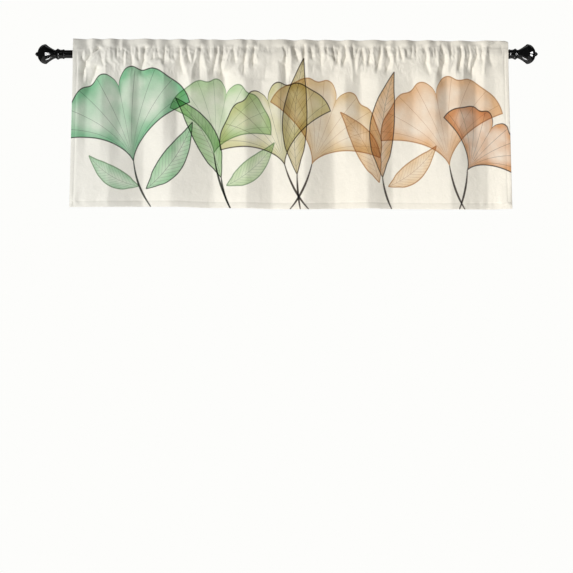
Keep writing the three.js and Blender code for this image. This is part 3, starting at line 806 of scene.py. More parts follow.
def levels_of(stretch):
    """The levels of a stretch's rows, without the one that it starts from."""
    start, end = stretch["from"], stretch["to"]
    levels = []
    for step in range(1, stretch["rows"] + 1):
        if stretch["towards"] == "to":
            left = (stretch["rows"] - step) / stretch["rows"]
            levels.append(end + (start - end) * left ** stretch["crowd"])
        else:
            run = step / stretch["rows"]
            levels.append(start + (end - start) * run ** stretch["crowd"])
    return levels


def cloth_rows():
    """All rows of the flat cut, as (kind, number)."""
    rows = [("back", HEM_LEVEL + up) for up in HEM_BACK_ROWS]
    rows += [("hem_fold", angle) for angle in FOLD_STEPS]
    rows += [("front", HEM_LEVEL + up) for up in HEM_FRONT_ROWS]
    for stretch in FRONT_STRETCHES:
        rows += [("front", level) for level in levels_of(stretch)]
    rows += [("header_fold", angle) for angle in FOLD_STEPS]
    top = HEADER_TOP_LEFT - LAYER_GAP
    for step in range(1, HEADER_BACK_ROWS + 1):
        rows.append(("back", top + (TOP_SEAM - top) * step / HEADER_BACK_ROWS))
    rows += [("pocket_back", step / BACK_STEPS) for step in range(1, BACK_STEPS)]
    return rows + [("back", LOWER_SEAM), ("back", LOWER_SEAM - SEAM_TAIL)]


@functools.cache
def back_path(across):
    """The pocket's back layer in section, from its top seam round the back of the rod."""
    gap = layer_gap(across)
    path = [(front_out(across, TOP_SEAM) - gap, TOP_SEAM)]
    for row in BACK_SECTION:
        path.append((row["out"] + BACK_GATHER_SHARE * gather_depth(across, row["z"]), row["z"]))
    path.append((front_out(across, LOWER_SEAM) - gap, LOWER_SEAM))
    return [path[0]] + path + [path[-1]]


def pocket_back(across, share):
    """A point of the pocket's back layer, on an even curve through its path."""
    path = back_path(across)
    place = share * (len(path) - 3)
    index = min(int(place), len(path) - 4)
    t = place - index
    point = []
    for axis in range(2):
        a, b, c, d = (path[index + step][axis] for step in range(4))
        bend = 2 * a - 5 * b + 4 * c - d
        twist = 3 * b - a - 3 * c + d
        point.append(0.5 * (2 * b + (c - a) * t + bend * t * t + twist * t ** 3))
    return clear_of_rod(*point)


def section_point(across, kind, number):
    """A point of the cloth's section at a place across it, as (out, z)."""
    gap = layer_gap(across)
    if kind == "pocket_back":
        return pocket_back(across, number)
    if kind in ("hem_fold", "header_fold"):
        turn = math.radians(number)
        up = 1 if kind == "header_fold" else -1
        edge = header_top(across) if up > 0 else hem_line(across)
        middle = front_out(across, edge) - gap / 2
        return middle + up * math.cos(turn) * gap / 2, edge + up * (math.sin(turn) - 1) * gap / 2
    z = hung_level(across, number)
    out = front_out(across, z)
    if kind == "back":
        return out - gap, z
    return clear_of_rod(out, z)


# Columns of the flat cut, from the left side hem's turned edge to the right one's, which are close
# together along the side hems. The front's rows from FINE_FROM up have FINE_CUTS more columns between
# each two.
COLUMNS = 250
SIDE_COLUMNS = [0, 3, 6, 8.2, 9.4, 10.2, 11, 12.2, 15]
SIDE_HEM_SHARES = [1, 0.6, 0.2]
FINE_CUTS = 2


def side_hem_columns(side):
    """The columns of one side hem behind the cloth, from its turned edge to its fold. As in
    cloth_columns, each is its place across the hung cloth, how far it is folded behind, and its place
    on the flat cut."""
    edge, flat_edge = (LEFT_EDGE, 0) if side < 0 else (RIGHT_EDGE, FLAT_WIDTH)
    columns = []
    for share in SIDE_HEM_SHARES:
        inside = side * SIDE_HEM * share
        columns.append((edge - inside, LAYER_GAP, flat_edge + inside))
    for angle in FOLD_STEPS[::-1]:
        turn = math.radians(angle)
        bulge = side * math.sin(turn) * LAYER_GAP / 2
        lift = (1 - math.cos(turn)) * LAYER_GAP / 2
        columns.append((edge + bulge, lift, flat_edge + bulge))
    return columns


def cloth_columns():
    """Each column as its place across the hung cloth, how far it is folded behind, and its place on
    the flat cut."""
    width = RIGHT_EDGE - LEFT_EDGE
    side = SIDE_COLUMNS[-1]
    places = SIDE_COLUMNS[:-1]
    places += [side + (width - 2 * side) * step / COLUMNS for step in range(COLUMNS + 1)]
    places += [width - place for place in SIDE_COLUMNS[-2::-1]]
    main = [(LEFT_EDGE + place, 0.0, FLAT_WIDTH * place / width) for place in places]
    return side_hem_columns(-1) + main + side_hem_columns(1)[::-1]


# How far below a column a place may lie and still count as in it
COLUMN_ROUNDING = 0.001


def column_at(columns, position):
    """Reads the columns at a place, which may be between two of them. A place that was rounded down
    still counts as its column."""
    index = min(int(position + COLUMN_ROUNDING), len(columns) - 2)
    share = position - index
    return [a + (b - a) * share for a, b in zip(columns[index], columns[index + 1])]


def widened(across, z):
    """The side edges hang straight to the lower seam and flare a little below it."""
    below = max(0.0, LOWER_SEAM - z)
    return across * (1 + HEM_FLARE * below / (LOWER_SEAM - HEM_LEVEL))


def cloth_point(column, rows, row):
    """The place in metres of one point of the cloth. A side hem lies behind the cloth's own face. The
    place across is rounded, so that what is kept for it is found again."""
    across, lift, _ = column
    inside = round(min(RIGHT_EDGE, max(LEFT_EDGE, across)), 3)
    out, z = section_point(inside, *rows[row])
    if lift:
        before = section_point(inside, *rows[max(0, row - 1)])
        after = section_point(inside, *rows[min(len(rows) - 1, row + 1)])
        length = math.hypot(after[0] - before[0], after[1] - before[1])
        out -= lift * (after[1] - before[1]) / length
        z += lift * (after[0] - before[0]) / length
    return Vector((widened(across, z), -out, z)) * MM


SAMPLE_EVERY = 12


def cut_lengths(columns, rows):
    """How far each row is up the flat cut from the hem's fold, averaged over a few sections."""
    down = [0.0] * len(rows)
    samples = columns[len(columns) // 4:-len(columns) // 4:SAMPLE_EVERY]
    for column in samples:
        points = [cloth_point(column, rows, row) for row in range(len(rows))]
        length = 0.0
        for row in range(1, len(rows)):
            length += (points[row] - points[row - 1]).length
            down[row] += length / len(samples)
    fold = down[rows.index(("hem_fold", 90))]
    return [length - fold for length in down]


# Colour, from a paint card's hex value to the linear numbers that light works with
def linear(hex_colour):
    channels = [int(hex_colour[place:place + 2], 16) / 255 for place in (1, 3, 5)]
    return tuple(c / 12.92 if c <= 0.04045 else ((c + 0.055) / 1.055) ** 2.4 for c in channels) + (1.0,)


def add_node(tree, kind, settings=None, inputs=None):
    """Adds a node with its settings, and sets or links each of its inputs."""
    node = tree.nodes.new(kind)
    for name, value in (settings or {}).items():
        setattr(node, name, value)
    for name, value in (inputs or {}).items():
        if isinstance(value, bpy.types.NodeSocket):
            tree.links.new(value, node.inputs[name])
        else:
            node.inputs[name].default_value = value
    return node


def set_curve(node, points):
    """Gives a float curve its points, from (0, ...) to (1, ...)."""
    curve = node.mapping.curves[0]
    for place, point in zip(points, curve.points):
        point.location = place
    curve.points[1].location = points[-1]
    for place in points[1:-1]:
        curve.points.new(*place)
    node.mapping.update()


# The print: large see-through leaves in dye washes with fine pen lines, on an ivory ground.
# Both kinds share these sockets, so that they can be laid over each other in turn.
LEAF_SOCKETS = [
    ("Colour", "NodeSocketColor"),
    ("Flat", "NodeSocketVector"),
    ("Place", "NodeSocketVector"),
    ("Turn", "NodeSocketVector"),
    ("Size", "NodeSocketVector"),
    ("Dye", "NodeSocketColor"),
    ("Ink", "NodeSocketColor"),
    ("Pen", "NodeSocketFloat"),
    ("Wide", "NodeSocketFloat"),
    ("Bow", "NodeSocketFloat"),
    ("Veins", "NodeSocketFloat"),
]


def leaf_tree(name):
    """Starts a kind of leaf: its sockets, and the place on the leaf, in its lengths from its foot."""
    tree = bpy.data.node_groups.new(name, "ShaderNodeTree")
    for socket, kind in LEAF_SOCKETS:
        tree.interface.new_socket(socket, in_out="INPUT", socket_type=kind)
    tree.interface.new_socket("Colour", in_out="OUTPUT", socket_type="NodeSocketColor")
    given = add_node(tree, "NodeGroupInput").outputs
    place = add_node(tree, "ShaderNodeMapping", {"vector_type": "TEXTURE"}, {
        "Vector": given["Flat"],
        "Location": given["Place"],
        "Rotation": given["Turn"],
        "Scale": given["Size"],
    }).outputs[0]
    return tree, given, place


# How the dye takes: blotches in a leaf's length, how strong they are, and how it pools along the rim.
# Then how strong the two kinds of pen line are.
WASH = {"blotches": 3.2, "palest": 0.3, "deepest": 0.78}
RIM_POOL = {"reach": 0.16, "share": 0.42}
OUTLINE_INK = 0.92
VEIN_INK = 0.72


def lay_dye(tree, given, place, inside, edge, veins):
    """Lays a leaf's wash and lines over the colour below. inside is over 0 within the leaf; edge and
    veins are distances from its pen lines. All are shares of the leaf's length."""
    half_pen = add_node(tree, "ShaderNodeMath", {"operation": "MULTIPLY"}, {
        0: given["Pen"], 1: 0.5,
    }).outputs[0]
    within = add_node(tree, "ShaderNodeMapRange", {}, {
        "Value": inside, "From Min": 0.0, "From Max": half_pen,
    }).outputs[0]
    blotch = add_node(tree, "ShaderNodeTexNoise", {}, {
        "Vector": place, "Scale": WASH["blotches"], "Detail": 2.0, "Roughness": 0.45,
    }).outputs["Fac"]
    rim = add_node(tree, "ShaderNodeMapRange", {"interpolation_type": "SMOOTHSTEP"}, {
        "Value": inside, "From Min": 0.0, "From Max": RIM_POOL["reach"],
        "To Min": RIM_POOL["share"], "To Max": 0.0,
    }).outputs[0]
    pool = add_node(tree, "ShaderNodeMapRange", {}, {
        "Value": blotch, "From Min": 0.32, "From Max": 0.68,
        "To Min": WASH["palest"], "To Max": WASH["deepest"],
    }).outputs[0]
    wash = add_node(tree, "ShaderNodeMath", {"operation": "ADD", "use_clamp": True}, {
        0: pool, 1: rim,
    }).outputs[0]
    amount = add_node(tree, "ShaderNodeMath", {"operation": "MULTIPLY"}, {0: wash, 1: within}).outputs[0]
    dyed = add_node(tree, "ShaderNodeMix", {"data_type": "RGBA", "blend_type": "MULTIPLY"}, {
        "Factor": amount, 6: given["Colour"], 7: given["Dye"],
    }).outputs[2]
    outline = add_node(tree, "ShaderNodeMapRange", {}, {
        "Value": edge, "From Min": half_pen, "From Max": given["Pen"], "To Min": OUTLINE_INK, "To Max": 0.0,
    }).outputs[0]
    fine = add_node(tree, "ShaderNodeMapRange", {}, {
        "Value": veins, "From Min": 0.0, "From Max": half_pen, "To Min": VEIN_INK, "To Max": 0.0,
    }).outputs[0]
    vein = add_node(tree, "ShaderNodeMath", {"operation": "MULTIPLY"}, {0: fine, 1: within}).outputs[0]
    line = add_node(tree, "ShaderNodeMath", {"operation": "MAXIMUM"}, {0: outline, 1: vein}).outputs[0]
    inked = add_node(tree, "ShaderNodeMix", {"data_type": "RGBA", "blend_type": "MULTIPLY"}, {
        "Factor": line, 6: dyed, 7: given["Ink"],
    }).outputs[2]
    add_node(tree, "NodeGroupOutput", {}, {"Colour": inked})


# Half outlines of the two leaves: the fan's from its middle to its side, and the blade's from its foot
# to its tip. The fan opens to FAN_SPAN on either side, and FAN_WAIST draws it in towards its stalk.
FAN_RIM = [
    (0.0, 0.8), (0.05, 0.9), (0.16, 0.985), (0.3, 0.95),
    (0.42, 0.99), (0.6, 0.965), (0.8, 0.955), (1.0, 0.88),
]
BLADE_HALF = [(0.0, 0.0), (0.12, 0.42), (0.3, 0.9), (0.45, 1.0), (0.65, 0.82), (0.85, 0.38), (1.0, 0.0)]
FAN_SPAN = math.radians(64)
FAN_WAIST = 0.42
VEIN_SLANT = 1.3
VEIN_THINNING = 1.2


def fan_leaf():
    """A fan-shaped leaf, wavy along its rim and cleft in the middle, with veins that spread from its
    stalk."""
    tree, given, place = leaf_tree("fan leaf dye")
    parts = add_node(tree, "ShaderNodeSeparateXYZ", {}, {0: place}).outputs
    away = add_node(tree, "ShaderNodeVectorMath", {"operation": "LENGTH"}, {0: place}).outputs["Value"]
    angle = add_node(tree, "ShaderNodeMath", {"operation": "ARCTAN2"}, {
        0: parts[0], 1: parts[1],
    }).outputs[0]
    turned = add_node(tree, "ShaderNodeMath", {"operation": "ABSOLUTE"}, {0: angle}).outputs[0]
    share = add_node(tree, "ShaderNodeMath", {"operation": "DIVIDE"}, {0: turned, 1: FAN_SPAN}).outputs[0]
    rim = add_node(tree, "ShaderNodeFloatCurve", {}, {"Value": share})
    set_curve(rim, FAN_RIM)
    to_rim = add_node(tree, "ShaderNodeMath", {"operation": "SUBTRACT"}, {
        0: rim.outputs[0], 1: away,
    }).outputs[0]
    spread = add_node(tree, "ShaderNodeMath", {"operation": "POWER"}, {0: away, 1: FAN_WAIST}).outputs[0]
    span = add_node(tree, "ShaderNodeMath", {"operation": "MULTIPLY"}, {0: spread, 1: FAN_SPAN}).outputs[0]
    room = add_node(tree, "ShaderNodeMath", {"operation": "SUBTRACT"}, {0: span, 1: turned}).outputs[0]
    to_side = add_node(tree, "ShaderNodeMath", {"operation": "MULTIPLY"}, {0: room, 1: away}).outputs[0]
    inside = add_node(tree, "ShaderNodeMath", {"operation": "MINIMUM"}, {0: to_rim, 1: to_side}).outputs[0]
    edge = add_node(tree, "ShaderNodeMath", {"operation": "ABSOLUTE"}, {0: inside}).outputs[0]
    ray = add_node(tree, "ShaderNodeMath", {"operation": "DIVIDE"}, {0: angle, 1: spread}).outputs[0]
    every = add_node(tree, "ShaderNodeMath", {"operation": "DIVIDE"}, {
        0: FAN_SPAN, 1: given["Veins"],
    }).outputs[0]
    between = add_node(tree, "ShaderNodeMath", {"operation": "PINGPONG"}, {0: ray, 1: every}).outputs[0]
    veins = add_node(tree, "ShaderNodeMath", {"operation": "MULTIPLY"}, {0: between, 1: away}).outputs[0]
    lay_dye(tree, given, place, inside, edge, veins)
    return tree


def blade_leaf():
    """A long slim leaf on a bowed midrib, with close slanting veins. A very slim one is a stalk."""
    tree, given, place = leaf_tree("blade leaf dye")
    parts = add_node(tree, "ShaderNodeSeparateXYZ", {}, {0: place}).outputs
    rest = add_node(tree, "ShaderNodeMath", {"operation": "SUBTRACT"}, {0: 1.0, 1: parts[1]}).outputs[0]
    hump = add_node(tree, "ShaderNodeMath", {"operation": "MULTIPLY"}, {0: parts[1], 1: rest}).outputs[0]
    bow = add_node(tree, "ShaderNodeMath", {"operation": "MULTIPLY"}, {0: hump, 1: given["Bow"]}).outputs[0]
    aside = add_node(tree, "ShaderNodeMath", {"operation": "SUBTRACT"}, {0: parts[0], 1: bow}).outputs[0]
    off = add_node(tree, "ShaderNodeMath", {"operation": "ABSOLUTE"}, {0: aside}).outputs[0]
    half = add_node(tree, "ShaderNodeFloatCurve", {}, {"Value": parts[1]})
    set_curve(half, BLADE_HALF)
    width = add_node(tree, "ShaderNodeMath", {"operation": "MULTIPLY"}, {
        0: half.outputs[0], 1: given["Wide"],
    }).outputs[0]
    to_side = add_node(tree, "ShaderNodeMath", {"operation": "SUBTRACT"}, {0: width, 1: off}).outputs[0]
    to_end = add_node(tree, "ShaderNodeMath", {"operation": "MULTIPLY"}, {0: hump, 1: 2.0}).outputs[0]
    inside = add_node(tree, "ShaderNodeMath", {"operation": "MINIMUM"}, {0: to_side, 1: to_end}).outputs[0]
    along_it = add_node(tree, "ShaderNodeMath", {"operation": "COMPARE"}, {
        0: parts[1], 1: 0.5, 2: 0.5,
    }).outputs[0]
    beyond = add_node(tree, "ShaderNodeMath", {"operation": "SUBTRACT"}, {0: 1.0, 1: along_it}).outputs[0]
    gap = add_node(tree, "ShaderNodeMath", {"operation": "ABSOLUTE"}, {0: to_side}).outputs[0]
    edge = add_node(tree, "ShaderNodeMath", {"operation": "ADD"}, {0: gap, 1: beyond}).outputs[0]
    slant = add_node(tree, "ShaderNodeMath", {"operation": "MULTIPLY_ADD"}, {
        0: off, 1: -VEIN_SLANT, 2: parts[1],
    }).outputs[0]
    every = add_node(tree, "ShaderNodeMath", {"operation": "DIVIDE"}, {0: 0.5, 1: given["Veins"]}).outputs[0]
    between = add_node(tree, "ShaderNodeMath", {"operation": "PINGPONG"}, {0: slant, 1: every}).outputs[0]
    thinned = add_node(tree, "ShaderNodeMath", {"operation": "MULTIPLY"}, {
        0: between, 1: VEIN_THINNING,
    }).outputs[0]
    veins = add_node(tree, "ShaderNodeMath", {"operation": "MINIMUM"}, {0: thinned, 1: off}).outputs[0]
    lay_dye(tree, given, place, inside, edge, veins)
    return tree


# The design on the flat cut, from its left edge and its hem fold. x, y: a leaf's foot. turn: degrees to
# the left. size: its length. wide, bow: a blade's half width and its midrib's bend, in its lengths.
# pale: drawn with the paler ink.
Leaf = namedtuple("Leaf", "kind x y turn size dye wide bow pale", defaults=(1, 0, False))
LEAVES = [
    Leaf("blade", 214, 60, 62, 178, "#B7DCC0", wide=0.15, bow=-0.35, pale=True),
    Leaf("fan", 196, 128, 14, 262, "#8CCBA5"),
    Leaf("blade", 236, 52, -38, 232, "#A4D3AE", wide=0.15, bow=0.3),
    Leaf("fan", 446, 150, -13, 205, "#BFDDB4", pale=True),
    Leaf("blade", 470, 84, 34, 262, "#A9CF9F", wide=0.13, bow=0.3),
    Leaf("blade", 486, 62, -52, 190, "#C6DFB9", wide=0.15, bow=0.3, pale=True),
    Leaf("fan", 668, 118, 17, 228, "#D9D8AE"),
    Leaf("blade", 706, 92, -4, 318, "#C9BE94", wide=0.12, bow=-0.22),
    Leaf("fan", 752, 120, -24, 236, "#E2C9A2", pale=True),
    Leaf("blade", 962, 70, 32, 226, "#E9CDAA", wide=0.15, bow=0.3, pale=True),
    Leaf("blade", 972, 84, -8, 290, "#E0B98D", wide=0.13, bow=-0.26),
    Leaf("blade", 990, 60, -54, 186, "#EED6B8", wide=0.15, bow=0.3, pale=True),
    Leaf("fan", 1180, 116, 11, 246, "#E8C09A", pale=True),
    Leaf("fan", 1236, 104, -35, 176, "#DDAA80"),
]

# Stalks, from a leaf's foot at (x, y) down to where they meet the hem's fold at foot
STALKS = [
    {"x": 196, "y": 128, "foot": 252, "bow": -0.28},
    {"x": 446, "y": 150, "foot": 500, "bow": -0.2},
    {"x": 470, "y": 84, "foot": 498, "bow": -0.2},
    {"x": 668, "y": 118, "foot": 742, "bow": -0.26},
    {"x": 706, "y": 92, "foot": 716, "bow": -0.1},
    {"x": 752, "y": 120, "foot": 684, "bow": 0.26},
    {"x": 972, "y": 84, "foot": 1000, "bow": -0.2},
    {"x": 1180, "y": 116, "foot": 1226, "bow": -0.24},
    {"x": 1236, "y": 104, "foot": 1208, "bow": 0.2},
]

# The print's line widths, how many veins a leaf has, and its colours, which turn warmer to the right
PEN_WIDTH = 2.2
STALK_WIDTH = 3.2
STALK_DYE = "#8B8677"
VEINS = {"fan": 9, "blade": 15}
INKS = {"green": "#26302A", "brown": "#35241A", "pale green": "#8BA68B", "pale brown": "#BE946B"}
INK_TURNS_BROWN = 640
GROUND_LEFT = "#F7F5EC"
GROUND_RIGHT = "#FAF4E6"
GROUND_TURNED_BY = FLAT_WIDTH * 0.6


def stalk_mark(stalk):
    """A stalk, as a very slim blade that starts at the hem."""
    run, rise = stalk["x"] - stalk["foot"], stalk["y"]
    size = math.hypot(run, rise)
    turn = math.degrees(math.atan2(-run, rise))
    wide = STALK_WIDTH / 2 / size
    return Leaf("blade", stalk["foot"], 0, turn, size, STALK_DYE, wide=wide, bow=stalk["bow"])


def leaf_print():
    """The whole print, from a place on the flat cut in millimetres to its colour."""
    kinds = {"fan": fan_leaf(), "blade": blade_leaf()}
    tree = bpy.data.node_groups.new("leaf print", "ShaderNodeTree")
    tree.interface.new_socket("Flat", in_out="INPUT", socket_type="NodeSocketVector")
    tree.interface.new_socket("Colour", in_out="OUTPUT", socket_type="NodeSocketColor")
    flat = add_node(tree, "NodeGroupInput").outputs["Flat"]
    across = add_node(tree, "ShaderNodeSeparateXYZ", {}, {0: flat}).outputs[0]
    share = add_node(tree, "ShaderNodeMapRange", {}, {
        "Value": across, "From Max": GROUND_TURNED_BY,
    }).outputs[0]
    colour = add_node(tree, "ShaderNodeMix", {"data_type": "RGBA"}, {
        "Factor": share, 6: linear(GROUND_LEFT), 7: linear(GROUND_RIGHT),
    }).outputs[2]
    for mark in [stalk_mark(stalk) for stalk in STALKS] + LEAVES:
        ink = ("pale " if mark.pale else "") + ("green" if mark.x < INK_TURNS_BROWN else "brown")
        colour = add_node(tree, "ShaderNodeGroup", {"node_tree": kinds[mark.kind]}, {
            "Colour": colour,
            "Flat": flat,
            "Place": (mark.x, mark.y, 0),
            "Turn": (0, 0, math.radians(mark.turn)),
            "Size": (mark.size, mark.size, 1),
            "Dye": linear(mark.dye),
            "Ink": linear(INKS[ink]),
            "Pen": PEN_WIDTH / mark.size,
            "Wide": mark.wide,
            "Bow": mark.bow,
            "Veins": VEINS[mark.kind],
        }).outputs[0]
    add_node(tree, "NodeGroupOutput", {}, {"Colour": colour})
    return tree


def new_material(name):
    """A material with nothing but its shader, and the two that its nodes are added to."""
    material = bpy.data.materials.new(name)
    material.use_nodes = True
    tree = material.node_tree
    tree.nodes.clear()
    shader = add_node(tree, "ShaderNodeBsdfPrincipled")
    add_node(tree, "ShaderNodeOutputMaterial", {}, {"Surface": shader.outputs[0]})
    return material, tree, shader


# Cloth: sizes of its weave and of the soft crumple left in it, and the painted shading added to its colour
# where it lies double or over the rod, standing in for less daylight coming through there
THREAD_PITCH = 1.6
SLUB_LENGTH = 14
WEAVE_DEPTH = 0.4
WEAVE_TONE = (0.955, 1.02)
CRUMPLES_PER_METRE = 30
CRUMPLE_DEPTH = 3.5
BLEACHED = "#F3EFE6"
HEM_PAINTED_SHADE = {"soft": 0.5, "share": 0.03}
SIDE_HEM_PAINTED_SHADE = {"soft": 0.5, "share": 0.025}
HEADER_PAINTED_SHADE = {"soft": 1.5, "share": 0.025}
ROD_PAINTED_SHADE = {"half": 32, "soft": 18, "share": 0.05}


def woven_cotton(name, printed, bleached, painted_shades):
    """Plain-woven cotton and polyester, printed with dye on its right side. The eye sees a matt surface with
    faint slubs along both sets of threads. The threads are 0.4 mm apart and would not show, so the weave is
    drawn four times as coarse. Painted shading: where the cloth is doubled or the rod is behind it, the
    colour is darkened a little, standing in for the daylight that would come through less there."""
    material, tree, shader = new_material(name)
    cut = add_node(tree, "ShaderNodeUVMap", {"uv_map": "flat_cut"}).outputs[0]
    flat = add_node(tree, "ShaderNodeVectorMath", {"operation": "SCALE"}, {
        0: cut, "Scale": 1 / MM,
    }).outputs[0]
    drawn = add_node(tree, "ShaderNodeGroup", {"node_tree": printed}, {"Flat": flat}).outputs[0]
    slubs = []
    for size in ((THREAD_PITCH, SLUB_LENGTH, 1), (SLUB_LENGTH, THREAD_PITCH, 1)):
        threads = add_node(tree, "ShaderNodeMapping", {"vector_type": "TEXTURE"}, {
            "Vector": flat, "Scale": size,
        }).outputs[0]
        slubs.append(add_node(tree, "ShaderNodeTexNoise", {}, {
            "Vector": threads, "Scale": 1.0, "Detail": 1.5, "Roughness": 0.5,
        }).outputs["Fac"])
    weave = add_node(tree, "ShaderNodeMath", {"operation": "ADD"}, {0: slubs[0], 1: slubs[1]}).outputs[0]
    tone = add_node(tree, "ShaderNodeMapRange", {}, {
        "Value": weave, "From Min": 0.6, "From Max": 1.4, "To Min": WEAVE_TONE[0], "To Max": WEAVE_TONE[1],
    }).outputs[0]
    ground = add_node(tree, "ShaderNodeMix", {"data_type": "RGBA"}, {
        "Factor": bleached, 6: drawn, 7: linear(BLEACHED),
    }).outputs[2]
    parts = add_node(tree, "ShaderNodeSeparateXYZ", {}, {0: flat}).outputs
    # Painted shading: the colour is darkened in soft-edged stripes of the flat cut where the cloth lies
    # double or over the rod
    painted_darkening = 0.0
    for axis, middle, half, soft, share in painted_shades:
        aside = add_node(tree, "ShaderNodeMath", {"operation": "SUBTRACT"}, {
            0: parts[axis], 1: middle,
        }).outputs[0]
        away = add_node(tree, "ShaderNodeMath", {"operation": "ABSOLUTE"}, {0: aside}).outputs[0]
        painted_stripe = add_node(tree, "ShaderNodeMapRange", {"interpolation_type": "SMOOTHSTEP"}, {
            "Value": away, "From Min": half - soft, "From Max": half + soft, "To Min": share, "To Max": 0.0,
        }).outputs[0]
        painted_darkening = add_node(tree, "ShaderNodeMath", {"operation": "MAXIMUM"}, {0: painted_stripe, 1: painted_darkening}).outputs[0]
    weave_less_painted_shading = add_node(tree, "ShaderNodeMath", {"operation": "SUBTRACT"}, {0: tone, 1: painted_darkening}).outputs[0]
    colour_with_painted_shading = add_node(tree, "ShaderNodeVectorMath", {"operation": "SCALE"}, {
        0: ground, "Scale": weave_less_painted_shading,
    }).outputs[0]
    tree.links.new(colour_with_painted_shading, shader.inputs["Base Color"])
    crumple = add_node(tree, "ShaderNodeTexNoise", {}, {
        "Vector": flat, "Scale": CRUMPLES_PER_METRE * MM, "Detail": 3.0, "Roughness": 0.5, "Distortion": 0.4,
    }).outputs["Fac"]
    crumpled = add_node(tree, "ShaderNodeBump", {}, {
        "Height": crumple, "Strength": 0.5, "Distance": CRUMPLE_DEPTH * MM,
    }).outputs[0]
    woven = add_node(tree, "ShaderNodeBump", {}, {
        "Height": weave, "Strength": 0.35, "Distance": WEAVE_DEPTH * MM, "Normal": crumpled,
    }).outputs[0]
    tree.links.new(woven, shader.inputs["Normal"])
    shader.inputs["Roughness"].default_value = 0.86
    shader.inputs["Specular IOR Level"].default_value = 0.22
    shader.inputs["Sheen Weight"].default_value = 0.12
    shader.inputs["Sheen Roughness"].default_value = 0.5
    return material


TWISTS_PER_METRE = 900


def sewing_thread():
    """Spun polyester sewing thread, ivory and twisted. The eye sees the twist as a slight change of
    tone along each stitch."""
    material, tree, shader = new_material("spun polyester thread")
    place = add_node(tree, "ShaderNodeTexCoord").outputs["Object"]
    twist = add_node(tree, "ShaderNodeTexNoise", {}, {
        "Vector": place, "Scale": TWISTS_PER_METRE, "Detail": 1.0,
    }).outputs["Fac"]
    tone = add_node(tree, "ShaderNodeMix", {"data_type": "RGBA"}, {
        "Factor": twist, 6: linear("#E2DBCB"), 7: linear("#F6F1E6"),
    }).outputs[2]
    tree.links.new(tone, shader.inputs["Base Color"])
    shader.inputs["Roughness"].default_value = 0.6
    return material


GLOSS_ROUGHNESS = 0.1
DUST_SIZE = 6.25


def black_gloss(name, peel_size, peel_height, dust):
    """Black gloss over a smooth base. The eye sees deep black with crisp lights, softened by the
    slight orange peel of the coat and by a trace of dust."""
    material, tree, shader = new_material(name)
    place = add_node(tree, "ShaderNodeTexCoord").outputs["Object"]
    peel = add_node(tree, "ShaderNodeTexNoise", {}, {
        "Vector": place, "Scale": 1 / (peel_size * MM), "Detail": 1.0,
    }).outputs["Fac"]
    bump = add_node(tree, "ShaderNodeBump", {}, {
        "Height": peel, "Strength": 0.3, "Distance": peel_height * MM,
    }).outputs[0]
    tree.links.new(bump, shader.inputs["Normal"])
    specks = add_node(tree, "ShaderNodeTexNoise", {}, {
        "Vector": place, "Scale": 1 / (DUST_SIZE * MM), "Detail": 4.0, "Roughness": 0.7,
    }).outputs["Fac"]
    dulled = add_node(tree, "ShaderNodeMapRange", {}, {
        "Value": specks, "From Min": 0.45, "From Max": 0.75,
        "To Min": GLOSS_ROUGHNESS, "To Max": GLOSS_ROUGHNESS + dust,
    }).outputs[0]
    tree.links.new(dulled, shader.inputs["Roughness"])
    tone = add_node(tree, "ShaderNodeMix", {"data_type": "RGBA"}, {
        "Factor": specks, 6: linear("#060606"), 7: linear("#101010"),
    }).outputs[2]
    tree.links.new(tone, shader.inputs["Base Color"])
    return material


def add_piece(name, mesh, materials):
    """Puts a mesh in the scene as a smooth-shaded piece, with its place in its mesh."""
    piece = bpy.data.objects.new(name, mesh)
    bpy.context.scene.collection.objects.link(piece)
    for material in materials:
        mesh.materials.append(material)
    mesh.shade_smooth()
    return piece


def mesh_from(shape, name):
    """Turns a finished bmesh to a mesh."""
    mesh = bpy.data.meshes.new(name)
    shape.to_mesh(mesh)
    shape.free()
    return mesh


def flat_grid(column_count, rows):
    """The flat cut as a grid in which a point's place is its column and row. It is finer where the
    cloth is gathered."""
    shape = bmesh.new()
    bmesh.ops.create_grid(shape, x_segments=column_count - 1, y_segments=len(rows) - 1, size=1.0)
    for vertex in shape.verts:
        x, y, _ = vertex.co
        vertex.co = ((x + 1) / 2 * (column_count - 1), (y + 1) / 2 * (len(rows) - 1), 0)
    first = rows.index(("front", FINE_FROM))
    last = rows.index(("header_fold", FOLD_STEPS[-1]))
    fine = []
    for edge in shape.edges:
        start, end = (vertex.co.y for vertex in edge.verts)
        if abs(start - end) < 0.5 and first - 0.5 < start < last + 0.5:
            fine.append(edge)
    bmesh.ops.subdivide_edges(shape, edges=fine, cuts=FINE_CUTS)
    return shape


def painted_shade_bands(rows, down):
    """Painted shading: where the flat cut lies double or over the rod, as (axis, middle, half width, how soft
    its edge is, how much darker its colour is painted)."""
    fold = down[rows.index(("header_fold", 90))] / MM
    header = fold - down[rows.index(("front", TOP_SEAM))] / MM
    over_rod = (down[rows.index(("front", FULLEST_LEVEL))] + down[rows.index(("front", LOWER_SEAM))]) / 2 / MM
    return [
        (1, 0, HEM_DEPTH, HEM_PAINTED_SHADE["soft"], HEM_PAINTED_SHADE["share"]),
        (0, 0, SIDE_HEM, SIDE_HEM_PAINTED_SHADE["soft"], SIDE_HEM_PAINTED_SHADE["share"]),
        (0, FLAT_WIDTH, SIDE_HEM, SIDE_HEM_PAINTED_SHADE["soft"], SIDE_HEM_PAINTED_SHADE["share"]),
        (1, fold, header, HEADER_PAINTED_SHADE["soft"], HEADER_PAINTED_SHADE["share"]),
        (1, over_rod, ROD_PAINTED_SHADE["half"], ROD_PAINTED_SHADE["soft"], ROD_PAINTED_SHADE["share"]),
    ]


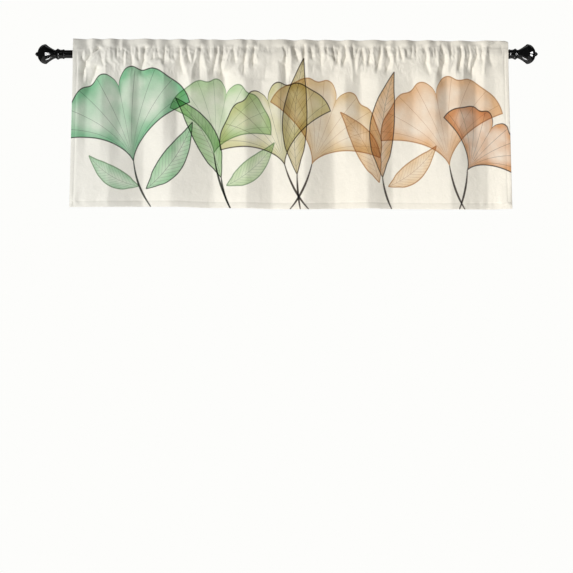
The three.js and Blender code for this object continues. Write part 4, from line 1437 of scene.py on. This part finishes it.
def make_cloth(columns, rows, down, materials):
    """The sewn cloth: a flat grid laid on its folds, then given its thickness."""
    shape = flat_grid(len(columns), rows)
    cut = shape.loops.layers.uv.new("flat_cut")
    flat = {}
    for vertex in shape.verts:
        row = round(vertex.co.y)
        column = column_at(columns, vertex.co.x)
        flat[vertex] = (column[2] * MM, down[row])
        vertex.co = cloth_point(column, rows, row)
    for face in shape.faces:
        for loop in face.loops:
            loop[cut].uv = flat[loop.vert]
    draft = add_piece("draft", mesh_from(shape, "draft"), materials)
    shell = draft.modifiers.new("thickness", "SOLIDIFY")
    shell.thickness = THICKNESS * MM
    shell.offset = 0
    shell.material_offset = 1
    shell.material_offset_rim = 0
    depsgraph = bpy.context.evaluated_depsgraph_get()
    sewn = bpy.data.meshes.new_from_object(draft.evaluated_get(depsgraph), depsgraph=depsgraph)
    bpy.data.objects.remove(draft)
    sewn.name = "valance_cloth_sewn"
    lay_out_bake(sewn, [column[2] * MM for column in columns], down)
    cloth = bpy.data.objects.new("valance_cloth_sewn", sewn)
    bpy.context.scene.collection.objects.link(cloth)
    return cloth


# How the two sides of the cloth share the map that the export bakes
RIGHT_SIDE_SHARE = 0.63
BAKE_MARGIN = 0.01


def lay_out_bake(mesh, flat_across, flat_down):
    """Lays the right and the wrong side of the flat cut above each other on one square map."""
    chart = mesh.uv_layers.new(name="OFBake").uv
    cut = mesh.uv_layers["flat_cut"].uv
    width = flat_across[-1] - flat_across[0]
    length = flat_down[-1] - flat_down[0]
    for face in mesh.polygons:
        wrong = face.material_index == 1
        low = 0.0 if wrong else 1 - RIGHT_SIDE_SHARE + BAKE_MARGIN
        tall = (1 - RIGHT_SIDE_SHARE if wrong else RIGHT_SIDE_SHARE) - BAKE_MARGIN
        for loop in face.loop_indices:
            u, v = cut[loop].vector
            place = ((u - flat_across[0]) / width, low + tall * (v - flat_down[0]) / length)
            chart[loop].vector = place
    mesh.uv_layers.active = mesh.uv_layers["OFBake"]


# Stitches
STITCH_LENGTH = 2.3
STITCH_PITCH = 3.1
THREAD_RADIUS = 0.24
STITCH_SINK = 0.17
TOWARDS_ROOM = Vector((0, -1, 0))

# Rows of stitches from one (across, level) to another, set in from the cloth's edges
EDGE_INSET = 1.5
SEWN_FROM = LEFT_EDGE + EDGE_INSET
SEWN_TO = RIGHT_EDGE - EDGE_INSET
SEAM_ROWS = [((SEWN_FROM, level), (SEWN_TO, level)) for level in (TOP_SEAM, LOWER_SEAM)]
HEM_ROWS = [
    ((SEWN_FROM, HEM_LEVEL + HEM_STITCH), (SEWN_TO, HEM_LEVEL + HEM_STITCH)),
    ((LEFT_EDGE + SIDE_STITCH, HEM_LEVEL + EDGE_INSET), (LEFT_EDGE + SIDE_STITCH, LOWER_SEAM)),
    ((RIGHT_EDGE - SIDE_STITCH, HEM_LEVEL + EDGE_INSET), (RIGHT_EDGE - SIDE_STITCH, LOWER_SEAM)),
]


def sewn_place(kind, across, level):
    """The middle of the front or the back layer at a level of the plan, in metres."""
    out, z = section_point(across, kind, level)
    return Vector((widened(across, z), -out, z)) * MM


def stitch_template():
    """One stitch, upright at the middle: a drop of thread that sinks in the cloth at both ends."""
    shape = bmesh.new()
    bmesh.ops.create_uvsphere(shape, u_segments=6, v_segments=5, radius=1.0)
    size = (THREAD_RADIUS * MM, THREAD_RADIUS * MM, STITCH_LENGTH / 2 * MM)
    bmesh.ops.scale(shape, vec=size, verts=shape.verts)
    return mesh_from(shape, "stitch")


def sew_row(shape, template, places, facing):
    """Sews one stitch between each two places, on the side of the cloth that faces that way."""
    lift = facing * (THICKNESS / 2 - STITCH_SINK) * MM
    for start, end in zip(places, places[1:]):
        turn = (end - start).to_track_quat("Z", "Y").to_matrix().to_4x4()
        move = Matrix.Translation((start + end) / 2 + lift) @ turn
        template.transform(move)
        shape.from_mesh(template)
        template.transform(move.inverted())


def make_stitches(name, layer, rows, thread):
    """Sews rows of stitches on the front or the back layer."""
    shape = bmesh.new()
    template = stitch_template()
    facing = TOWARDS_ROOM if layer == "front" else -TOWARDS_ROOM
    for start, end in rows:
        count = round(math.dist(start, end) / STITCH_PITCH)
        places = []
        for step in range(count + 1):
            across, level = (a + (b - a) * step / count for a, b in zip(start, end))
            places.append(sewn_place(layer, across, level))
        sew_row(shape, template, places, facing)
    return add_piece(name, mesh_from(shape, name), [thread])


# Rod and finials
ROD_WALL = 1
TURNED_STEPS = 96
CURVE_STEPS = 10
MERGED_WITHIN = 0.01
SHARP_EDGE = math.radians(32)

# A finial's outline from its mouth to its widest ring. along: from the mouth.
# bow: twice how far it bulges outwards half way to the next row, 0 where it runs straight.
FINIAL_SECTIONS = [
    {"along": 0, "radius": 11.9, "bow": 0},
    {"along": 0.5, "radius": 12.4, "bow": 1.3},
    {"along": 5.2, "radius": 12.3, "bow": 0},
    {"along": 5.7, "radius": 12.0, "bow": -0.3},
    {"along": 11, "radius": 12.1, "bow": 0},
    {"along": 14.8, "radius": 13.3, "bow": 4.6},
    {"along": 22.6, "radius": 12, "bow": 0},
    {"along": 23.2, "radius": 11.6, "bow": 0},
    {"along": 26.2, "radius": 11.5, "bow": -2.4},
    {"along": 49.4, "radius": 26.3, "bow": 0},
    {"along": 50.1, "radius": 26.9, "bow": 0.15},
    {"along": 51.4, "radius": 26.8, "bow": 0},
]

# The domed cap beyond the widest ring, and the small knob on it
CAP_LENGTH = 22.4
CAP_STEPS = 16
KNOB_RADIUS = 6.2
KNOB_SECTIONS = [
    {"along": 73.7, "radius": 5.3},
    {"along": 74.3, "radius": 5.2},
    {"along": 75.0, "radius": 6.1},
    {"along": 75.6, "radius": 6.1},
    {"along": 79.7, "radius": 1.4},
    {"along": 80.3, "radius": 0.7},
]
FINIAL_LENGTH = 80.5
SOCKET_DEPTH = 14
SOCKET_RADIUS = 11.35


def finial_outline():
    """(along, radius) from the bottom of the socket, round the mouth to the knob's tip."""
    outline = [(SOCKET_DEPTH, 0), (SOCKET_DEPTH, SOCKET_RADIUS), (0, SOCKET_RADIUS)]
    outline.append((0, FINIAL_SECTIONS[0]["radius"]))
    for before, after in zip(FINIAL_SECTIONS, FINIAL_SECTIONS[1:]):
        steps = CURVE_STEPS if before["bow"] else 1
        middle = (before["radius"] + after["radius"]) / 2 + before["bow"]
        for step in range(1, steps + 1):
            t = step / steps
            radius = before["radius"] * (1 - t) ** 2 + 2 * middle * t * (1 - t) + after["radius"] * t * t
            outline.append((before["along"] + (after["along"] - before["along"]) * t, radius))
    widest = FINIAL_SECTIONS[-1]
    end = math.asin(KNOB_RADIUS / widest["radius"])
    for step in range(1, CAP_STEPS + 1):
        angle = math.pi / 2 + (end - math.pi / 2) * step / CAP_STEPS
        outline.append((widest["along"] + CAP_LENGTH * math.cos(angle), widest["radius"] * math.sin(angle)))
    outline += [(row["along"], row["radius"]) for row in KNOB_SECTIONS]
    return outline + [(FINIAL_LENGTH, 0)]


def turned_piece(name, outline, start, side, material):
    """Turns an outline about the rod's axis. It starts at start and runs to the given side."""
    shape = bmesh.new()
    points = [shape.verts.new(Vector((start / MM + side * x, 0, radius)) * MM) for x, radius in outline]
    edges = [shape.edges.new(pair) for pair in zip(points, points[1:])]
    bmesh.ops.spin(
        shape, geom=points + edges, cent=(0, 0, 0), axis=(1, 0, 0), angle=math.tau,
        steps=TURNED_STEPS, use_merge=True,
    )
    bmesh.ops.remove_doubles(shape, verts=shape.verts, dist=MERGED_WITHIN * MM)
    bmesh.ops.recalc_face_normals(shape, faces=shape.faces)
    piece = add_piece(name, mesh_from(shape, name), [material])
    piece.data.set_sharp_from_angle(angle=SHARP_EDGE)
    return piece


def make_rod(material):
    """The tube, as long and as wide as the solid is, with its wall."""
    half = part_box("curtain_rod")[1].x / MM
    inside = ROD_RADIUS - ROD_WALL
    outline = [(-half, inside), (-half, ROD_RADIUS), (half, ROD_RADIUS), (half, inside), (-half, inside)]
    return turned_piece("rod_tube", outline, 0, 1, material)


# Stage
FLOOR_LEVEL = -2.2
FLOOR_SIZE = 3.2


def make_floor():
    """A pale matt floor with a faint mottle."""
    shape = bmesh.new()
    bmesh.ops.create_grid(shape, x_segments=1, y_segments=1, size=FLOOR_SIZE)
    bmesh.ops.translate(shape, vec=(0, 0, FLOOR_LEVEL), verts=shape.verts)
    material, tree, shader = new_material("pale painted floor")
    place = add_node(tree, "ShaderNodeTexCoord").outputs["Object"]
    mottle = add_node(tree, "ShaderNodeTexNoise", {}, {
        "Vector": place, "Scale": 2.0, "Detail": 3.0,
    }).outputs["Fac"]
    tone = add_node(tree, "ShaderNodeMix", {"data_type": "RGBA"}, {
        "Factor": mottle, 6: linear("#EDEBE7"), 7: linear("#F3F2EF"),
    }).outputs[2]
    tree.links.new(tone, shader.inputs["Base Color"])
    shader.inputs["Roughness"].default_value = 0.7
    floor = add_piece("floor", mesh_from(shape, "floor"), [material])


# How bright the room is for the cloth, and how bright the gloss shows it
ROOM_LIGHT = 0.16
ROOM_IN_GLOSS = 0.04


def make_world():
    """An even pale room. The camera sees it white. It lights the cloth more softly, and the gloss
    reflects it darker still, as a studio's dim side does."""
    world = bpy.data.worlds.new("pale room")
    bpy.context.scene.world = world
    world.use_nodes = True
    tree = world.node_tree
    tree.nodes.clear()
    ray = add_node(tree, "ShaderNodeLightPath").outputs
    lit = add_node(tree, "ShaderNodeMapRange", {}, {
        "Value": ray["Is Glossy Ray"], "To Min": ROOM_LIGHT, "To Max": ROOM_IN_GLOSS,
    }).outputs[0]
    strength = add_node(tree, "ShaderNodeMapRange", {}, {
        "Value": ray["Is Camera Ray"], "To Min": lit, "To Max": 1.0,
    }).outputs[0]
    room = add_node(tree, "ShaderNodeBackground", {}, {"Color": linear("#FDFDFB"), "Strength": strength})
    add_node(tree, "ShaderNodeOutputWorld", {}, {"Surface": room.outputs[0]})


# Suns. at: where from. angle: how soft, in degrees. The key comes from the left in front, and a little
# from below, so that each fold has a light and a dark side. The one behind makes the floor pale and
# lights the cloth's wrong side, but not its front.
SUNS = [
    {"name": "key", "at": (-0.77, -0.64, -0.06), "angle": 14, "power": 2.42},
    {"name": "back", "at": (0.35, 0.72, 0.6), "angle": 25, "power": 2.3},
]

# Strips of light. at: in metres. size: width and height. The fill brightens the hem more than the rod,
# and the gloss doesn't show it. Only the gloss shows the others.
FILL = {"name": "fill", "at": (0.1, -0.75, -0.95), "size": (2.0, 0.4), "power": 3.3}
GLOSS_STRIPS = [
    {"name": "side_upper", "at": (1.9, -0.75, 0.27), "size": (1.25, 0.34), "power": 44},
    {"name": "side_lower", "at": (1.9, -0.75, -0.36), "size": (1.25, 0.34), "power": 44},
    {"name": "below", "at": (0, 0.05, -0.62), "size": (0.16, 0.3), "power": 3.2},
    {"name": "front_upper", "at": (0, -2.9, 2.2), "size": (3.4, 0.3), "power": 4},
    {"name": "front_lower", "at": (0, -2.5, -2.1), "size": (3.4, 0.3), "power": 4},
    {"name": "back_upper", "at": (0, 1.6, 2.2), "size": (6.0, 0.8), "power": 9},
]


def add_light(row, kind, settings):
    """Adds a light of the given kind that faces the middle of the rod."""
    data = bpy.data.lights.new(row["name"], kind)
    data.energy = row["power"]
    for setting, value in settings.items():
        setattr(data, setting, value)
    light = bpy.data.objects.new(row["name"], data)
    light.location = row["at"]
    light.rotation_euler = (-Vector(row["at"])).to_track_quat("-Z", "Y").to_euler()
    bpy.context.scene.collection.objects.link(light)
    return light


def make_lights():
    for row in SUNS:
        sun = add_light(row, "SUN", {"angle": math.radians(row["angle"])})
        sun.visible_glossy = False
    for row in [FILL] + GLOSS_STRIPS:
        width, height = row["size"]
        strip = add_light(row, "AREA", {"shape": "RECTANGLE", "size": width, "size_y": height})
        strip.visible_camera = False
        if row is FILL:
            strip.visible_glossy = False
        else:
            strip.visible_diffuse = False


def main():
    bpy.context.scene.view_settings.view_transform = "Standard"
    make_world()
    make_lights()
    make_floor()

    rows = cloth_rows()
    columns = cloth_columns()
    down = cut_lengths(columns, rows)
    # Painted shading for the cloth's colour, where it lies double or over the rod
    painted_shades = painted_shade_bands(rows, down)
    printed = leaf_print()
    right_side = woven_cotton("printed plain-woven cotton", printed, bleached=0.0, painted_shades=painted_shades)
    wrong_side = woven_cotton("unprinted back of the cotton", printed, bleached=0.78, painted_shades=painted_shades)
    cloth = make_cloth(columns, rows, down, [right_side, wrong_side])
    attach(cloth, "root")
    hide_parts("valance_cloth")

    thread = sewing_thread()
    stitching = [
        make_stitches("seam_stitches_front", "front", SEAM_ROWS, thread),
        make_stitches("seam_stitches_back", "back", SEAM_ROWS, thread),
        make_stitches("hem_stitches_front", "front", HEM_ROWS, thread),
        make_stitches("hem_stitches_back", "back", HEM_ROWS, thread),
    ]
    for stitches in stitching:
        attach(stitches, "root")

    enamel = black_gloss("sprayed black enamel on steel", peel_size=2.4, peel_height=0.02, dust=0.16)
    rod = make_rod(enamel)
    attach(rod, "root")
    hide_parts("curtain_rod")

    lacquer = black_gloss("dipped black lacquer on moulded resin", peel_size=3, peel_height=0.03, dust=0.1)
    for name, side in (("finial_left", -1), ("finial_right", 1)):
        low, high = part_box(name)
        mouth = high.x if side < 0 else low.x
        finial = turned_piece(name + "_turned", finial_outline(), mouth, side, lacquer)
        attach(finial, "root")
        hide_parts(name)


main()
